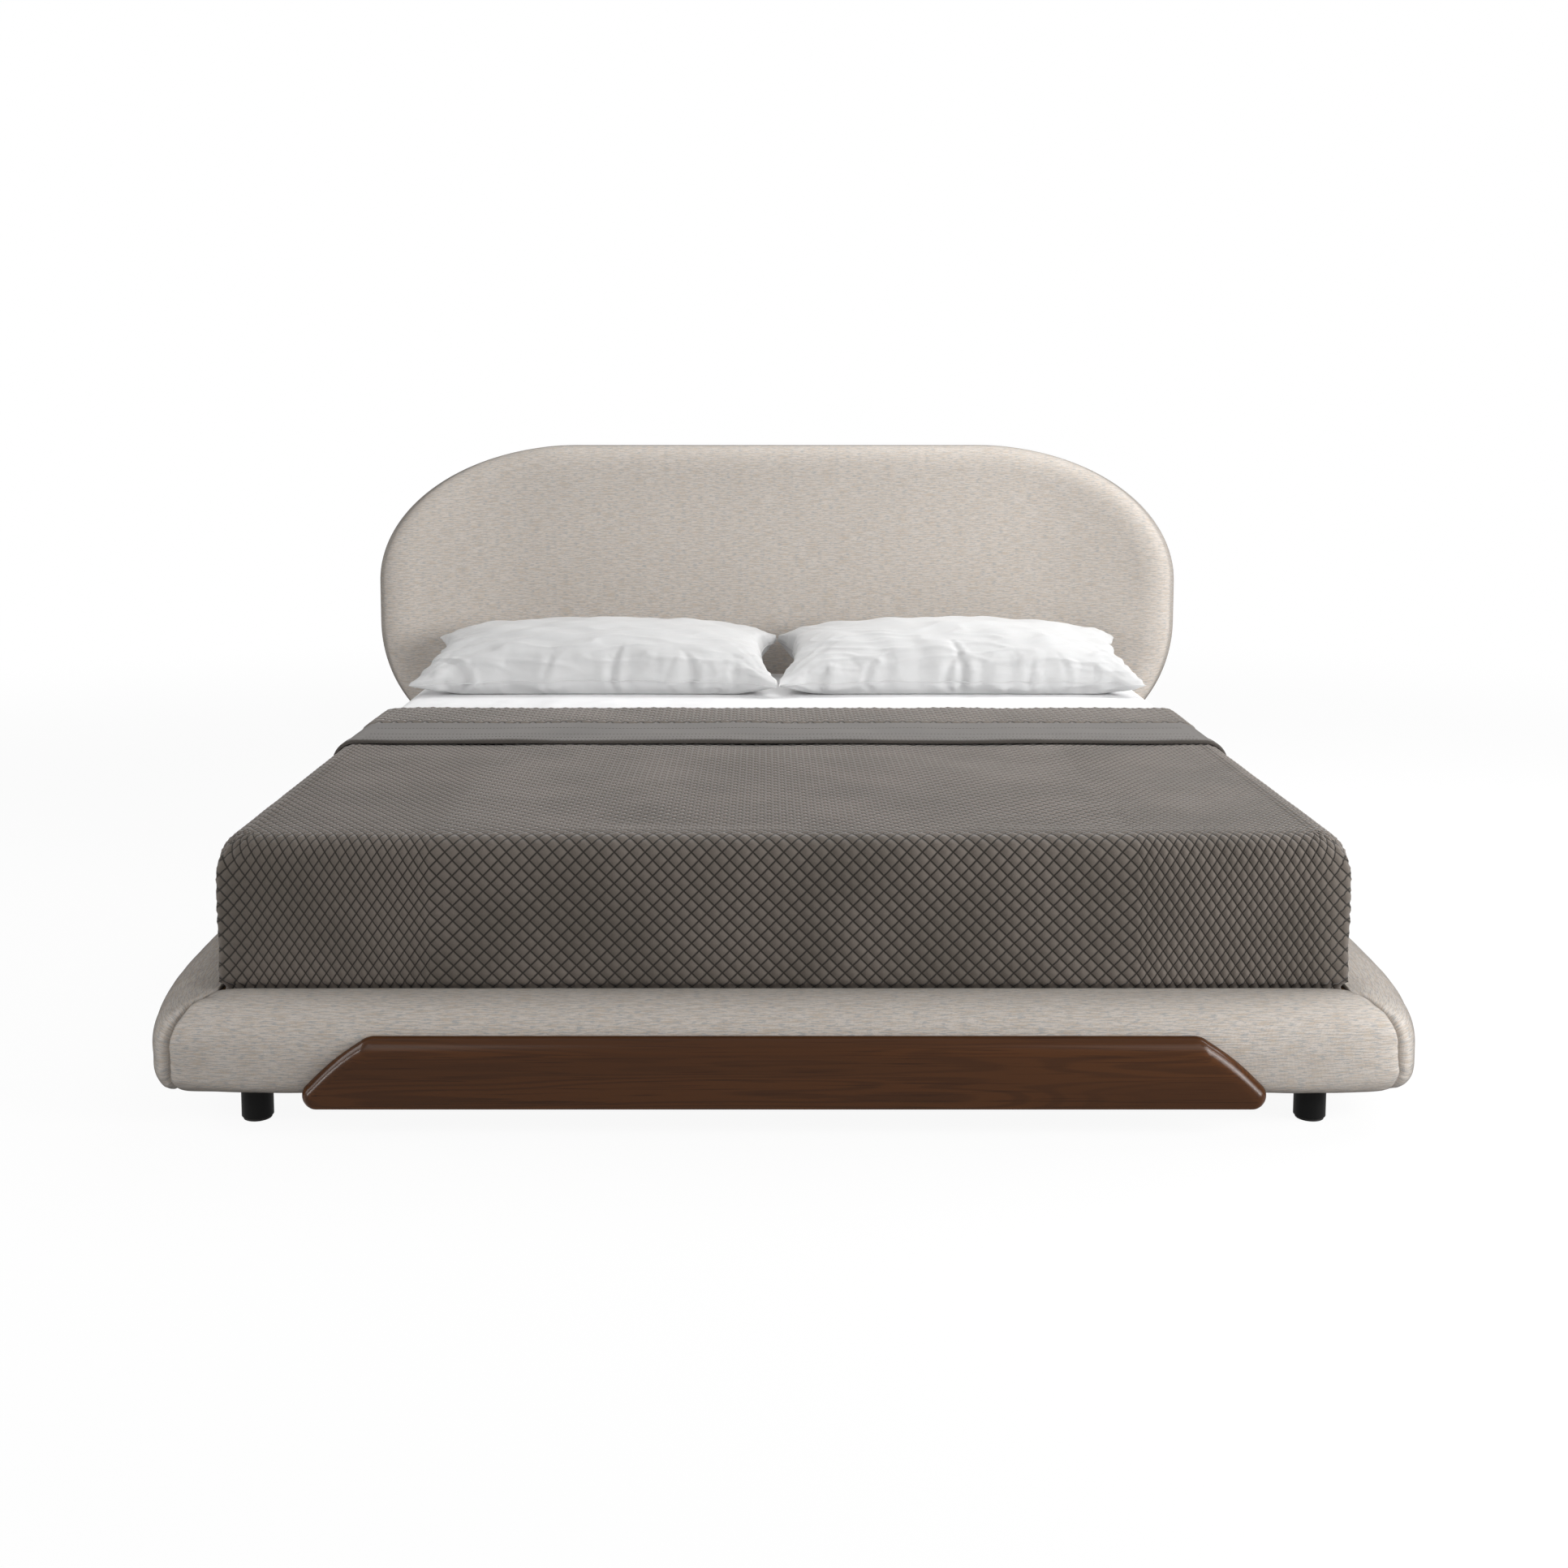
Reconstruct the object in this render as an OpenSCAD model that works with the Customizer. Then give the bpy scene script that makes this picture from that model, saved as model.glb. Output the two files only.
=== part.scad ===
// Upholstered bed with a curved oval headboard, padded rails and a wood trim board.
// X runs across the bed, the foot points towards -Y, and Z is up from the floor.

/* [Mattress] */
// Width of the mattress
mattress_w = 1930; // [1500:10:2000]
// Length of the mattress
mattress_l = 2032; // [1900:1:2100]
// Height of the mattress
mattress_h = 300; // [220:5:340]
// Corner radius of the mattress seen from above
mattress_corner_r = 46; // [34:1:80]
// Radius along the top and bottom edges of the mattress
mattress_edge_r = 30; // [20:1:32]
// Thickness of the quilted ticking
ticking_t = 12; // [6:0.5:14]

/* [Bedding] */
// Thickness of the fitted sheet
sheet_t = 2.5; // [1.5:0.5:4]
// Height of the fitted sheet's hem above the slats
sheet_hem = 25; // [20:1:80]
// Thickness of the coverlet
coverlet_t = 11; // [6:0.5:14]
// Height of the coverlet's hem above the slats
coverlet_hem = 14; // [10:1:30]
// Distance from the coverlet's front to its fold at the head end
coverlet_l = 1320; // [1000:10:1500]
// Length of the band that is turned back at the fold
band_l = 412; // [200:1:500]
// Extra thickness of the turned-back band
band_t = 9; // [4:0.5:12]
// Height above the rails at which the band ends at the sides
band_clear = 8; // [4:1:40]

/* [Pillows] */
// Distance between the two pillows
pillow_gap = 14; // [8:1:60]
// Distance from a pillow's outer tips to the mattress side
pillow_inset = 22; // [15:1:100]
// Depth of a pillow from front to back
pillow_d = 440; // [380:5:480]
// Height of the pillow's crown above its seam
pillow_crown = 98; // [60:1:120]
// Depth of the pillow's belly below its seam
pillow_belly = 58; // [40:1:80]
// Slope of the pillow towards its front edge, in degrees
pillow_slope = 9; // [0:1:14]
// Distance from the pillow's back edge to the headboard
pillow_back_gap = 64; // [50:1:120]
// How far the front and back edges are drawn in at their middle
pillow_draw_d = 20; // [0:1:40]
// How far the side edges are drawn in at their middle
pillow_draw_w = 26; // [0:1:40]
// Thickness of the pillow case
case_t = 1.5; // [1:0.1:3]

/* [Rails] */
// Height of the rails' underside above the floor
rail_bottom = 56; // [40:1:116]
// Height of the padded rails
rail_h = 159; // [140:1:200]
// Depth of the foot rail from front to back
foot_depth = 108; // [95:1:140]
// Half the frame's extra width beyond the mattress opening, at mid length
side_depth = 153; // [130:1:180]
// Distance between the coverlet and the rails
rail_gap = 3; // [1:0.5:10]
// How far the corner seam lies outside the mattress opening
seam_out = 59; // [45:1:60]
// How far the corner seam lies in front of the mattress opening
seam_front = 92; // [80:1:94]
// Length over which the side rail draws in towards the front seam
side_taper_l = 540; // [300:10:700]
// Length over which the side rail draws in at the head end
side_end_l = 150; // [100:5:300]
// How far the side rail draws in at the head end
side_end_in = 72; // [40:1:90]
// Roundness of the rails' upper half, 2 is an ellipse and more is squarer
rail_round_top = 2.5; // [2:0.1:4]
// Roundness of the rails' lower half
rail_round_bottom = 5; // [4:0.1:7]
// How much lower the foot rail's padding is at its seams
seam_dip = 7; // [0:1:12]
// Thickness of the upholstery fabric
fabric_t = 2; // [1:0.1:3]

/* [Rail frames] */
// Thickness of the upright frame boards
board_t = 22; // [18:1:30]
// Thickness of the frames' base boards
base_t = 18; // [15:1:24]
// Depth of the frames' base boards
base_d = 64; // [58:1:70]
// Height of the base boards' underside above the fabric
base_lift = 1.8; // [1.5:0.1:6]
// Foam over the top of the upright boards
foam_over = 12; // [8:1:30]
// Distance from the mattress end to the head rail's board
head_space = 99; // [90:1:140]

/* [Trim board] */
// Thickness of the trim board
trim_t = 28; // [20:1:34]
// Height of the trim board
trim_h = 120; // [80:1:140]
// How far the trim board hangs below the rails
trim_drop = 7; // [0:1:20]
// Length of the trim board's top edge
trim_top_l = 1420; // [800:10:1500]
// Length of the trim board's bottom edge
trim_bottom_l = 1630; // [1000:2:1700]
// Radius of the trim board's front edges
trim_edge_r = 15; // [6:1:18]
// Radius of the trim board's lower corners
trim_corner_r = 21; // [12:1:30]
// Number of trim screws
trim_screws_n = 4; // [2:1:6]

/* [Legs] */
// Diameter of the legs
leg_d = 54; // [40:1:60]
// Thickness of the glide under each leg
glide_t = 5; // [3:1:10]
// Distance between the leg centres across the bed
leg_span = 1810; // [1300:10:1860]
// Distance from the mattress opening out to the legs' centres
leg_out = 36; // [32:1:38]
// Diameter of the threaded studs
stud_d = 8; // [6:1:10]

/* [Slats] */
// Width of a slat
slat_w = 120; // [80:1:150]
// Thickness of a slat
slat_t = 18; // [15:1:25]
// Height of the slats' top above the floor
slat_top = 166; // [161:1:176]
// Distance from the rails to the first and the last slat
slat_end_gap = 25; // [10:1:60]
// Width of the slat ledgers
ledger_w = 25; // [20:1:40]
// Height of the slat ledgers
ledger_h = 35; // [25:1:40]
// Width of the centre beam
beam_w = 40; // [30:1:60]
// Height of the centre beam
beam_h = 60; // [40:1:66]
// Diameter of the centre legs
centre_leg_d = 40; // [30:1:60]
// Distance between the two centre legs
centre_leg_span = 900; // [600:10:1200]
// How far the levelling feet can be screwed up into their legs
foot_travel = 12; // [5:1:16]

/* [Headboard] */
// Height of the headboard's top above the floor
headboard_top = 1114; // [880:1:1280]
// Distance from the rails' top to the headboard's bottom edge
headboard_lift = 11; // [5:1:60]
// How far the headboard reaches out past the mattress opening, along its curve
headboard_reach = 127; // [100:1:150]
// Thickness of the headboard
headboard_t = 95; // [80:1:120]
// Distance from the mattress to the headboard's middle
headboard_gap = 34; // [32:1:80]
// Radius of the headboard's curve
wing_r = 838; // [780:1:1200]
// Length of the curved part at each end
wing_l = 410; // [300:5:430]
// Width of the upper rounded corners
corner_top_w = 530; // [300:5:600]
// Height of the upper rounded corners
corner_top_h = 386; // [200:2:400]
// Width of the lower rounded corners
corner_low_w = 350; // [200:5:400]
// Height of the lower rounded corners
corner_low_h = 390; // [200:2:400]
// Radius of the headboard's front edge
edge_front_r = 42; // [25:1:50]
// Radius of the headboard's back edge
edge_back_r = 22; // [10:1:25]
// Width of the front cover's return on the back
cover_return = 14; // [8:1:30]
// Depth of the foam in front of the panel
headboard_foam = 56; // [45:1:64]
// Thickness of the curved panel
panel_t = 18; // [12:1:21]
// Distance between the headboard posts
post_span = 860; // [600:10:1100]
// Width of a headboard post
post_w = 60; // [40:1:80]
// Thickness of a headboard post
post_t = 8; // [6:0.5:12]
// Height of the posts' top above the rails
post_rise = 400; // [300:5:500]

/* [Hidden] */

// Colours
fabric_c = [0.76, 0.73, 0.69];
foam_c = [0.93, 0.90, 0.78];
timber_c = [0.80, 0.66, 0.47];
walnut_c = [0.24, 0.14, 0.09];
black_c = [0.07, 0.07, 0.07];
steel_c = [0.62, 0.63, 0.65];
white_c = [0.95, 0.95, 0.95];
quilt_c = [0.31, 0.29, 0.27];

// Clearances, and how far a cut runs past the piece it cuts
cut = 1;
soft_gap = 0.4;
wood_gap = 0.3;
seam_gap = 0.25;
stud_gap = 0.2;

// Heights
rail_top = rail_bottom + rail_h;
rail_widest = 0.44;
rail_mid = rail_bottom + rail_widest * rail_h;
mattress_z0 = slat_top + wood_gap;
mattress_z1 = mattress_z0 + mattress_h;
headboard_z0 = rail_top + headboard_lift;
base_z = rail_bottom + fabric_t + base_lift;
board_top = rail_top - fabric_t - foam_over;

// Places along the bed, measured from the inner face of the foot rail
layers = soft_gap + sheet_t + soft_gap + coverlet_t;
opening_w = mattress_w + 2 * (layers + rail_gap);
inner = opening_w / 2;
mattress_y0 = rail_gap + layers;
mattress_y1 = mattress_y0 + mattress_l;
sheet_y1 = mattress_y1 + soft_gap + sheet_t;
headboard_y = sheet_y1 + headboard_gap;
back_y = headboard_y + headboard_t;
head_board_y = mattress_y1 + head_space;
bolt_head_t = 5;
post_y = back_y + wood_gap;
overall_back = post_y + post_t + bolt_head_t;
trim_y = -foot_depth - wood_gap;
overall_front = trim_y - trim_t;
shift_y = -(overall_front + overall_back) / 2;

// Rail plan
side_out = inner + side_depth;
seam_len = norm([seam_out, seam_front]);
seam_dir = [seam_out, -seam_front] / seam_len;
seam_inset = 1.5;
dip_fade = 3;
foot_corner_l = 62;
rail_steps = 14;
taper_steps = 9;
end_steps = 5;
bow_steps = 7;

// Legs and frames
leg_x = leg_span / 2;
leg_z = rail_bottom;
leg_y_front = -leg_out;
leg_y_rear = head_board_y - leg_out;
stud_short = 2;
stud_up = base_lift + fabric_t + base_t - stud_short;

// Headboard in its flat state: u runs along the curve, w from front to back
half_u = inner + headboard_reach;
wing_u = half_u - wing_l;
curve_y = headboard_y - wing_r;
panel_w0 = headboard_foam + wood_gap;
panel_w1 = panel_w0 + panel_t;
back_w0 = panel_w1 + wood_gap;
corner_steps = 8;
corner_fit = min(1, (headboard_top - headboard_z0) / (corner_top_h + corner_low_h + 2));
panel_inset = 9;
face_steps = [0.93, 0.85, 0.75, 0.65, 0.45, 0.2];

// Pillows
pillow_w = (mattress_w - pillow_gap) / 2 - pillow_inset;
pillow_x = (pillow_gap + pillow_w) / 2;
pillow_y = headboard_y - pillow_back_gap - pillow_d / 2;
pillow_sides = 9;
pillow_full = 0.42;
belly_rows = [0.25, 0.5, 0.72, 0.85, 0.94];
crown_rows = [0.94, 0.85, 0.72, 0.55, 0.35, 0.12];

// Bolts, and how far a hole runs past the end of its bolt
bolt_d = 8;
hole_end = 2;
bolt_head_d = 14;
bolt_gap = 0.2;

// Basic functions
function signed_pow(v, p) = sign(v) * pow(abs(v), p);
function mean(points) =
    [for (k = [0:2]) [for (p = points) p[k]] * [for (p = points) 1] / len(points)];
function reverse(list) = [for (i = [len(list) - 1:-1:0]) list[i]];

// Two triangles for the four corners a, b, c and d, split along the shorter diagonal
function two_triangles(points, a, b, c, d) =
    norm(points[a] - points[d]) < norm(points[b] - points[c])
    ? [[a, c, d], [a, d, b]] : [[a, c, b], [b, c, d]];

// Closed solid through a row of rings, with a fan of triangles on each end. The rings run
// counter-clockwise as seen from the end of the row.
module loft(rings) {
    n = len(rings[0]);
    m = len(rings);
    points = concat([for (r = rings) each r], [mean(rings[0]), mean(rings[m - 1])]);
    sides = [for (j = [0:m - 2]) for (i = [0:n - 1])
        let (a = j * n + i, b = j * n + (i + 1) % n)
        each two_triangles(points, a, b, a + n, b + n)];
    start = [for (i = [0:n - 1]) [m * n, i, (i + 1) % n]];
    finish = [for (i = [0:n - 1]) [m * n + 1, (m - 1) * n + (i + 1) % n, (m - 1) * n + i]];
    polyhedron(points = points, faces = concat(sides, start, finish), convexity = 10);
}

// Closed skin between an outer and an inner grid of points of the same size
module skin(outer, inner_grid) {
    m = len(outer);
    n = len(outer[0]);
    k = m * n;
    points = concat([for (r = outer) each r], [for (r = inner_grid) each r]);
    cells = [for (j = [0:m - 2]) for (i = [0:n - 2]) j * n + i];
    outside = [for (a = cells) each two_triangles(points, a, a + 1, a + n, a + n + 1)];
    inside = [for (a = cells) each two_triangles(points, k + a + 1, k + a, k + a + n + 1, k + a + n)];
    first_row = [for (i = [0:n - 2]) each [[i, i + 1, k + i], [i + 1, k + i + 1, k + i]]];
    last = (m - 1) * n;
    last_row = [for (i = [0:n - 2]) let (a = last + i)
        each [[a, k + a, a + 1], [a + 1, k + a, k + a + 1]]];
    left = [for (j = [0:m - 2]) let (a = j * n) each [[a, k + a, a + n], [a + n, k + a, k + a + n]]];
    right = [for (j = [0:m - 2]) let (a = j * n + n - 1)
        each [[a, a + n, k + a], [a + n, k + a + n, k + a]]];
    faces = concat(outside, inside, first_row, last_row, left, right);
    real = [for (f = faces) if (points[f[0]] != points[f[1]] && points[f[1]] != points[f[2]]
        && points[f[2]] != points[f[0]]) f];
    polyhedron(points = points, faces = real, convexity = 10);
}

// Rail section as [depth share, height share], from the top inner edge round to the bottom one
rail_section = [for (i = [0:rail_steps])
    let (a = 180 * i / rail_steps, p = a <= 90 ? rail_round_top : rail_round_bottom)
    [pow(sin(a), 2 / p), signed_pow(cos(a), 2 / p)]];

// One ring of a rail between its inner and outer plan points, shrunk by e, its top lower by dip
function rail_ring(inner_p, outer_p, e, dip) = [for (s = rail_section)
    let (z = rail_mid + s[1] * ((s[1] >= 0 ? rail_top - rail_mid - dip : rail_mid - rail_bottom) - e))
    [inner_p.x + s[0] * (outer_p.x - inner_p.x), inner_p.y + s[0] * (outer_p.y - inner_p.y), z]];

// The same ring pressed flat against the mattress opening
function rail_end(ring, inner_p) = [for (p = ring) [inner_p.x, inner_p.y, p.z]];

// Corner seam seen from above: its inner and outer end, moved e into the foot or the side rail
function seam_points(e, into_side) =
    let (start = into_side ? [inner, e / seam_dir.x] : [inner + e / seam_dir.y, 0])
    [start, start + seam_dir * (seam_len - seam_inset * e)];

// Right half of the foot rail, from its middle to its seam, as [inner point, outer point, dip]
function foot_half(e) =
    let (seam = seam_points(e, false), y = -(foot_depth - e), start = inner - foot_corner_l)
    concat([for (i = [0:bow_steps - 1]) let (x = start * i / bow_steps) [[x, 0], [x, y], 0]],
        [for (i = [0:taper_steps]) let (a = 90 * i / taper_steps, rise = 1 - cos(a))
            [[start + (seam[0].x - start) * sin(a), 0],
             [start + (seam[1].x - start) * sin(a), y + (seam[1].y - y) * rise], seam_dip * rise]]);

function foot_path(e) =
    let (half = foot_half(e))
    concat([for (i = [len(half) - 1:-1:1]) let (p = half[i])
        [[-p[0].x, p[0].y], [-p[1].x, p[1].y], p[2]]], half);

// Right side rail, from its seam to the head end, as [inner point, outer point, dip]
function side_path(e) =
    let (seam = seam_points(e, true), out = side_out - e, end = back_y - wood_gap - e,
        y1 = end - side_end_l)
    concat([for (i = [0:taper_steps]) let (a = 90 * i / taper_steps, t = 1 - cos(a),
            y = seam[1].y + side_taper_l * t)
            [[inner, seam[0].y + (y1 - seam[0].y) * (y - seam[1].y) / (y1 - seam[1].y)],
             [seam[1].x + (out - seam[1].x) * sin(a), y], seam_dip * max(0, 1 - dip_fade * t)]],
        [for (i = [0:end_steps]) let (a = 90 * i / end_steps, y = y1 + side_end_l * sin(a))
            [[inner, y], [out - side_end_in * (1 - cos(a)), y], 0]]);

function path_rings(path, e) = [for (p = path) rail_ring(p[0], p[1], e, p[2])];

function with_ends(path, e) =
    let (rings = path_rings(path, e), last = len(path) - 1)
    concat([rail_end(rings[0], path[0][0])], rings, [rail_end(rings[last], path[last][0])]);

// Rounded rectangle as a ring of points
function round_rect(x0, x1, y0, y1, r, z) = [for (c = [0:3]) for (i = [0:6])
    let (a = 90 * c + 15 * i, cx = (c == 0 || c == 3) ? x1 - r : x0 + r, cy = c < 2 ? y1 - r : y0 + r)
    [cx + r * cos(a), cy + r * sin(a), z]];

// Rings of a mattress-shaped body grown by g, from height z_low up to its top face
function slab_rings(g, z_low) =
    let (r = mattress_edge_r + g, x = mattress_w / 2 + g, top = mattress_z1 + g)
    concat([round_rect(-x, x, mattress_y0 - g, mattress_y1 + g, mattress_corner_r + g, z_low)],
        [for (i = [0:4]) let (a = 22.5 * i, d = r * (1 - cos(a)))
            round_rect(-x + d, x - d, mattress_y0 - g + d, mattress_y1 + g - d,
                mattress_corner_r + g - d, top - r * (1 - sin(a)))]);

// Cloth tray over the mattress from growth g to g + t, open at the bottom
function tray_rings(g, t, z_low) = concat(reverse(slab_rings(g, z_low)), slab_rings(g + t, z_low));

// Headboard outline in its flat state, inset by d, as [u, z]
function outline(d) =
    let (right = half_u, top = headboard_top, low = headboard_z0)
    [for (c = [0:3]) for (i = [0:corner_steps])
        let (step = 90 * i / corner_steps, a = 90 * c - 90 + step,
            up = c == 1 || c == 2, rx = up ? corner_top_w : corner_low_w,
            rz = corner_fit * (up ? corner_top_h : corner_low_h), side = c < 2 ? 1 : -1,
            nn = norm([cos(a) / rx, sin(a) / rz]))
        [side * (right - rx) + rx * cos(a) - d * cos(a) / rx / nn,
         (up ? top - rz : low + rz) + rz * sin(a) - d * sin(a) / rz / nn]];

// Curves a flat point [u, z] at depth w round the headboard's plan curve
function bend(u, w, z) =
    let (over = max(0, abs(u) - wing_u), a = over / wing_r * 180 / PI)
    [sign(u) * (min(abs(u), wing_u) + (wing_r + w) * sin(a)), curve_y + (wing_r + w) * cos(a), z];

function board_ring(w, d) = [for (p = outline(d)) bend(p[0], w, p[1])];

// Rings that fill a face of the headboard from inset d in to its middle
function face_rings(w, d) =
    let (mid = (headboard_top + headboard_z0) / 2)
    [for (s = face_steps) [for (p = outline(d)) bend(p[0] * s, w, mid + (p[1] - mid) * s)]];

// Rounded edges, from the back face to the side and from the side to the front face
function back_edge(e) = [for (a = [0:22.5:90])
    board_ring(headboard_t - e - (edge_back_r - e) * (1 - cos(a)), e + (edge_back_r - e) * (1 - sin(a)))];

function front_edge(e) = [for (a = [0:18:90])
    board_ring(e + (edge_front_r - e) * (1 - sin(a)), e + (edge_front_r - e) * (1 - cos(a)))];

// Plan band of the headboard between depths w0 and w1
function plan_band(w0, w1) =
    let (far = wing_l + headboard_t / 2, n = 14,
        us = concat([for (i = [0:n]) -wing_u - far * (n - i) / n], [for (i = [0:n]) wing_u + far * i / n]))
    concat([for (u = us) let (p = bend(u, w0, 0)) [p.x, p.y]],
        [for (u = reverse(us)) let (p = bend(u, w1, 0)) [p.x, p.y]]);

// Curved board of the headboard's outline inset by d
module curved_board(w0, w1, d) {
    edge = [for (p = outline(d)) [bend(p[0], (w0 + w1) / 2, 0).x, p[1]]];
    intersection() {
        translate([0, 0, headboard_z0])
            linear_extrude(headboard_top - headboard_z0) polygon(plan_band(w0, w1));
        translate([0, overall_back, 0]) rotate([90, 0, 0]) linear_extrude(overall_back) polygon(edge);
    }
}

// Pillow as rings of points, with its half sizes and its crown and belly
function pillow_ring(r, side, hw, hd, rise) = [for (c = [0:3]) for (i = [0:pillow_sides - 1])
    let (t = -1 + 2 * i / pillow_sides,
        q = c == 0 ? [1, t] : c == 1 ? [-t, 1] : c == 2 ? [-1, -t] : [t, -1],
        a = q[0] * r, b = q[1] * r, full = pow(max(0, (1 - a * a) * (1 - b * b)), pillow_full),
        x = a * (hw - pillow_draw_w * (1 - b * b)), y = b * (hd - pillow_draw_d * (1 - a * a)),
        z = side * rise * full)
    [x, y * cos(pillow_slope) - z * sin(pillow_slope), y * sin(pillow_slope) + z * cos(pillow_slope)]];

function pillow_rings(e) =
    let (hw = pillow_w / 2 - 2 * e, hd = pillow_d / 2 - 2 * e)
    concat([for (r = belly_rows) pillow_ring(r, -1, hw, hd, pillow_belly - e)],
        [pillow_ring(1, 1, hw, hd, pillow_crown - e)],
        [for (r = crown_rows) pillow_ring(r, 1, hw, hd, pillow_crown - e)]);

pillow_low = min([for (ring = pillow_rings(0)) for (p = ring) p.z]);
pillow_z = mattress_z1 + soft_gap + sheet_t + soft_gap - pillow_low;

module pillow_body(e) {
    loft(pillow_rings(e));
}

module at_pillow(side) {
    translate([side * pillow_x, shift_y + pillow_y, pillow_z]) children();
}

// Places everything so that the whole lies about the origin
module at_bed() {
    translate([0, shift_y, 0]) children();
}

// L-shaped frame of a rail: an upright board with its face on the opening and a base board.
// A clearance grows it, and a drop lengthens it downwards.
module l_frame(length, clear, drop) {
    translate([-length / 2 - clear, -board_t - clear, base_z - drop])
        cube([length + 2 * clear, board_t + 2 * clear, board_top - base_z + clear + drop]);
    translate([-length / 2 - clear, -base_d - clear, base_z - drop])
        cube([length + 2 * clear, base_d + 2 * clear, base_t + clear + drop]);
}

module foot_frame(clear, drop) {
    l_frame(opening_w + 2 * (fabric_t + seam_gap) / seam_dir.y - 2 * wood_gap, clear, drop);
}

side_frame_y0 = (fabric_t + seam_gap) / seam_dir.x + wood_gap;
module side_frame(clear, drop) {
    length = head_board_y - wood_gap - side_frame_y0;
    translate([inner, side_frame_y0 + length / 2, 0]) rotate([0, 0, 90]) l_frame(length, clear, drop);
}

module head_frame() {
    translate([-inner + wood_gap, head_board_y, base_z])
        cube([opening_w - 2 * wood_gap, board_t, board_top - base_z]);
    translate([-inner + wood_gap, head_board_y - base_d, base_z])
        cube([opening_w - 2 * wood_gap, base_d, base_t]);
}

// Sides of a round piece
round_fn = 48;

// Bore or rod along Z
module rod(d, z0, z1) {
    translate([0, 0, z0]) cylinder(d = d, h = z1 - z0, $fn = round_fn);
}

// Bore or rod along Y
module rod_y(d, y0, y1) {
    translate([0, y0, 0]) rotate([-90, 0, 0]) cylinder(d = d, h = y1 - y0, $fn = round_fn);
}

// Bore or rod along X
module rod_x(d, x0, x1) {
    translate([x0, 0, 0]) rotate([0, 90, 0]) cylinder(d = d, h = x1 - x0, $fn = round_fn);
}

module leg_holes() {
    for (x = [-1, 1], y = [leg_y_front, leg_y_rear])
        translate([x * leg_x, y, 0]) rod(stud_d + 2 * stud_gap, 0, base_z + base_t + cut);
}

// Screws of the trim board, in a row through the foot rail
trim_z = rail_bottom - trim_drop;
trim_screw_low = 12;
trim_screw_z = rail_mid - trim_screw_low;
trim_screw_d = 6;
trim_screw_bite = 18;
module at_trim_screws() {
    pitch = (trim_top_l - 2 * trim_h) / (trim_screws_n - 1);
    for (i = [0:trim_screws_n - 1])
        translate([pitch * (i - (trim_screws_n - 1) / 2), 0, trim_screw_z]) children();
}

module trim_holes() {
    at_trim_screws() rod_y(trim_screw_d + 2 * bolt_gap, trim_y - trim_screw_bite - cut, board_t);
}

// Headboard bolts, two into the head rail and two into the curved panel on each post
post_top = rail_top + post_rise;
post_foot = 12;
post_low = base_z + base_t + post_foot;
rail_bolt_z = [post_low + 14, board_top - 22];
panel_bolt_z = [headboard_z0 + 110, post_top - 40];
panel_bolt_depth = 6;
module at_post_bolts(heights) {
    for (z = heights) translate([0, 0, z]) children();
}

module post_holes(y0) {
    for (x = [-1, 1]) translate([x * post_span / 2, 0, 0])
        at_post_bolts(concat(rail_bolt_z, panel_bolt_z))
            rod_y(bolt_d + 2 * bolt_gap, y0, overall_back + cut);
}

// Brackets
bracket_l = 62;
bracket_t = 3;
bracket_clear = 4;
bracket_z = base_z + base_t + bracket_clear;
bracket_h = slat_top - slat_t - 2.5 * bracket_clear - bracket_z;
bracket_bolt_out = 38;
bracket_bolt_d = 6;
bracket_bolt_l = board_t - 6;
bracket_bolt_rows = [0.25, 0.75];
module bracket() {
    difference() {
        union() {
            cube([bracket_l, bracket_t, bracket_h]);
            cube([bracket_t, bracket_l, bracket_h]);
        }
        at_bracket_bolts() rod_y(bracket_bolt_d + 2 * bolt_gap, -cut, bracket_t + cut);
        mirror([1, -1, 0]) at_bracket_bolts() rod_y(bracket_bolt_d + 2 * bolt_gap, -cut, bracket_t + cut);
    }
}

module at_bracket_bolts() {
    for (z = bracket_bolt_rows) translate([bracket_bolt_out, 0, z * bracket_h]) children();
}

// Inside corner of the frame: front or rear (end is 1 or -1), right or left (side is 1 or -1)
module at_corner(end, side) {
    y = end > 0 ? wood_gap : head_board_y - wood_gap;
    translate([side * (inner - wood_gap), y, bracket_z]) mirror([side > 0 ? 1 : 0, 0, 0])
        mirror([0, end > 0 ? 0 : 1, 0]) children();
}

// Both rows of bolts of one corner, as holes or as bolts
module corner_bolts(d, reach) {
    at_bracket_bolts() rod_y(d, -reach, bracket_t + wood_gap);
    mirror([1, -1, 0]) at_bracket_bolts() rod_y(d, -reach, bracket_t + wood_gap);
}

module bracket_holes() {
    for (end = [-1, 1], side = [-1, 1]) at_corner(end, side)
        corner_bolts(bracket_bolt_d + 2 * bolt_gap, bracket_bolt_l + hole_end);
}

// Slats, one node each
slats_n = 10;
slat_side_gap = 2;
slat_l = opening_w - 2 * slat_side_gap;
slat_y0 = slat_end_gap;
slat_y1 = sheet_y1 - slat_end_gap + rail_gap;
slat_pitch = (slat_y1 - slat_y0 - slat_w) / (slats_n - 1);
slat_screw_d = 4;
slat_screw_x = inner - ledger_w / 2;
slat_screw_head = 2;
slat_screw_share = 0.6;
slat_screw_l = slat_t + ledger_h * slat_screw_share;
slat_screw_end = 15;
ledger_y0 = bracket_l + 2 * bracket_clear;
ledger_y1 = slat_y1;
ledger_top = slat_top - slat_t - wood_gap / 3;
module slat(i) {
    color(timber_c) at_bed() difference() {
        translate([-slat_l / 2, slat_y0 + slat_pitch * i, slat_top - slat_t])
            cube([slat_l, slat_w, slat_t]);
        at_slat_screws(i) slat_screw(2 * bolt_gap);
    }
}

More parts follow.
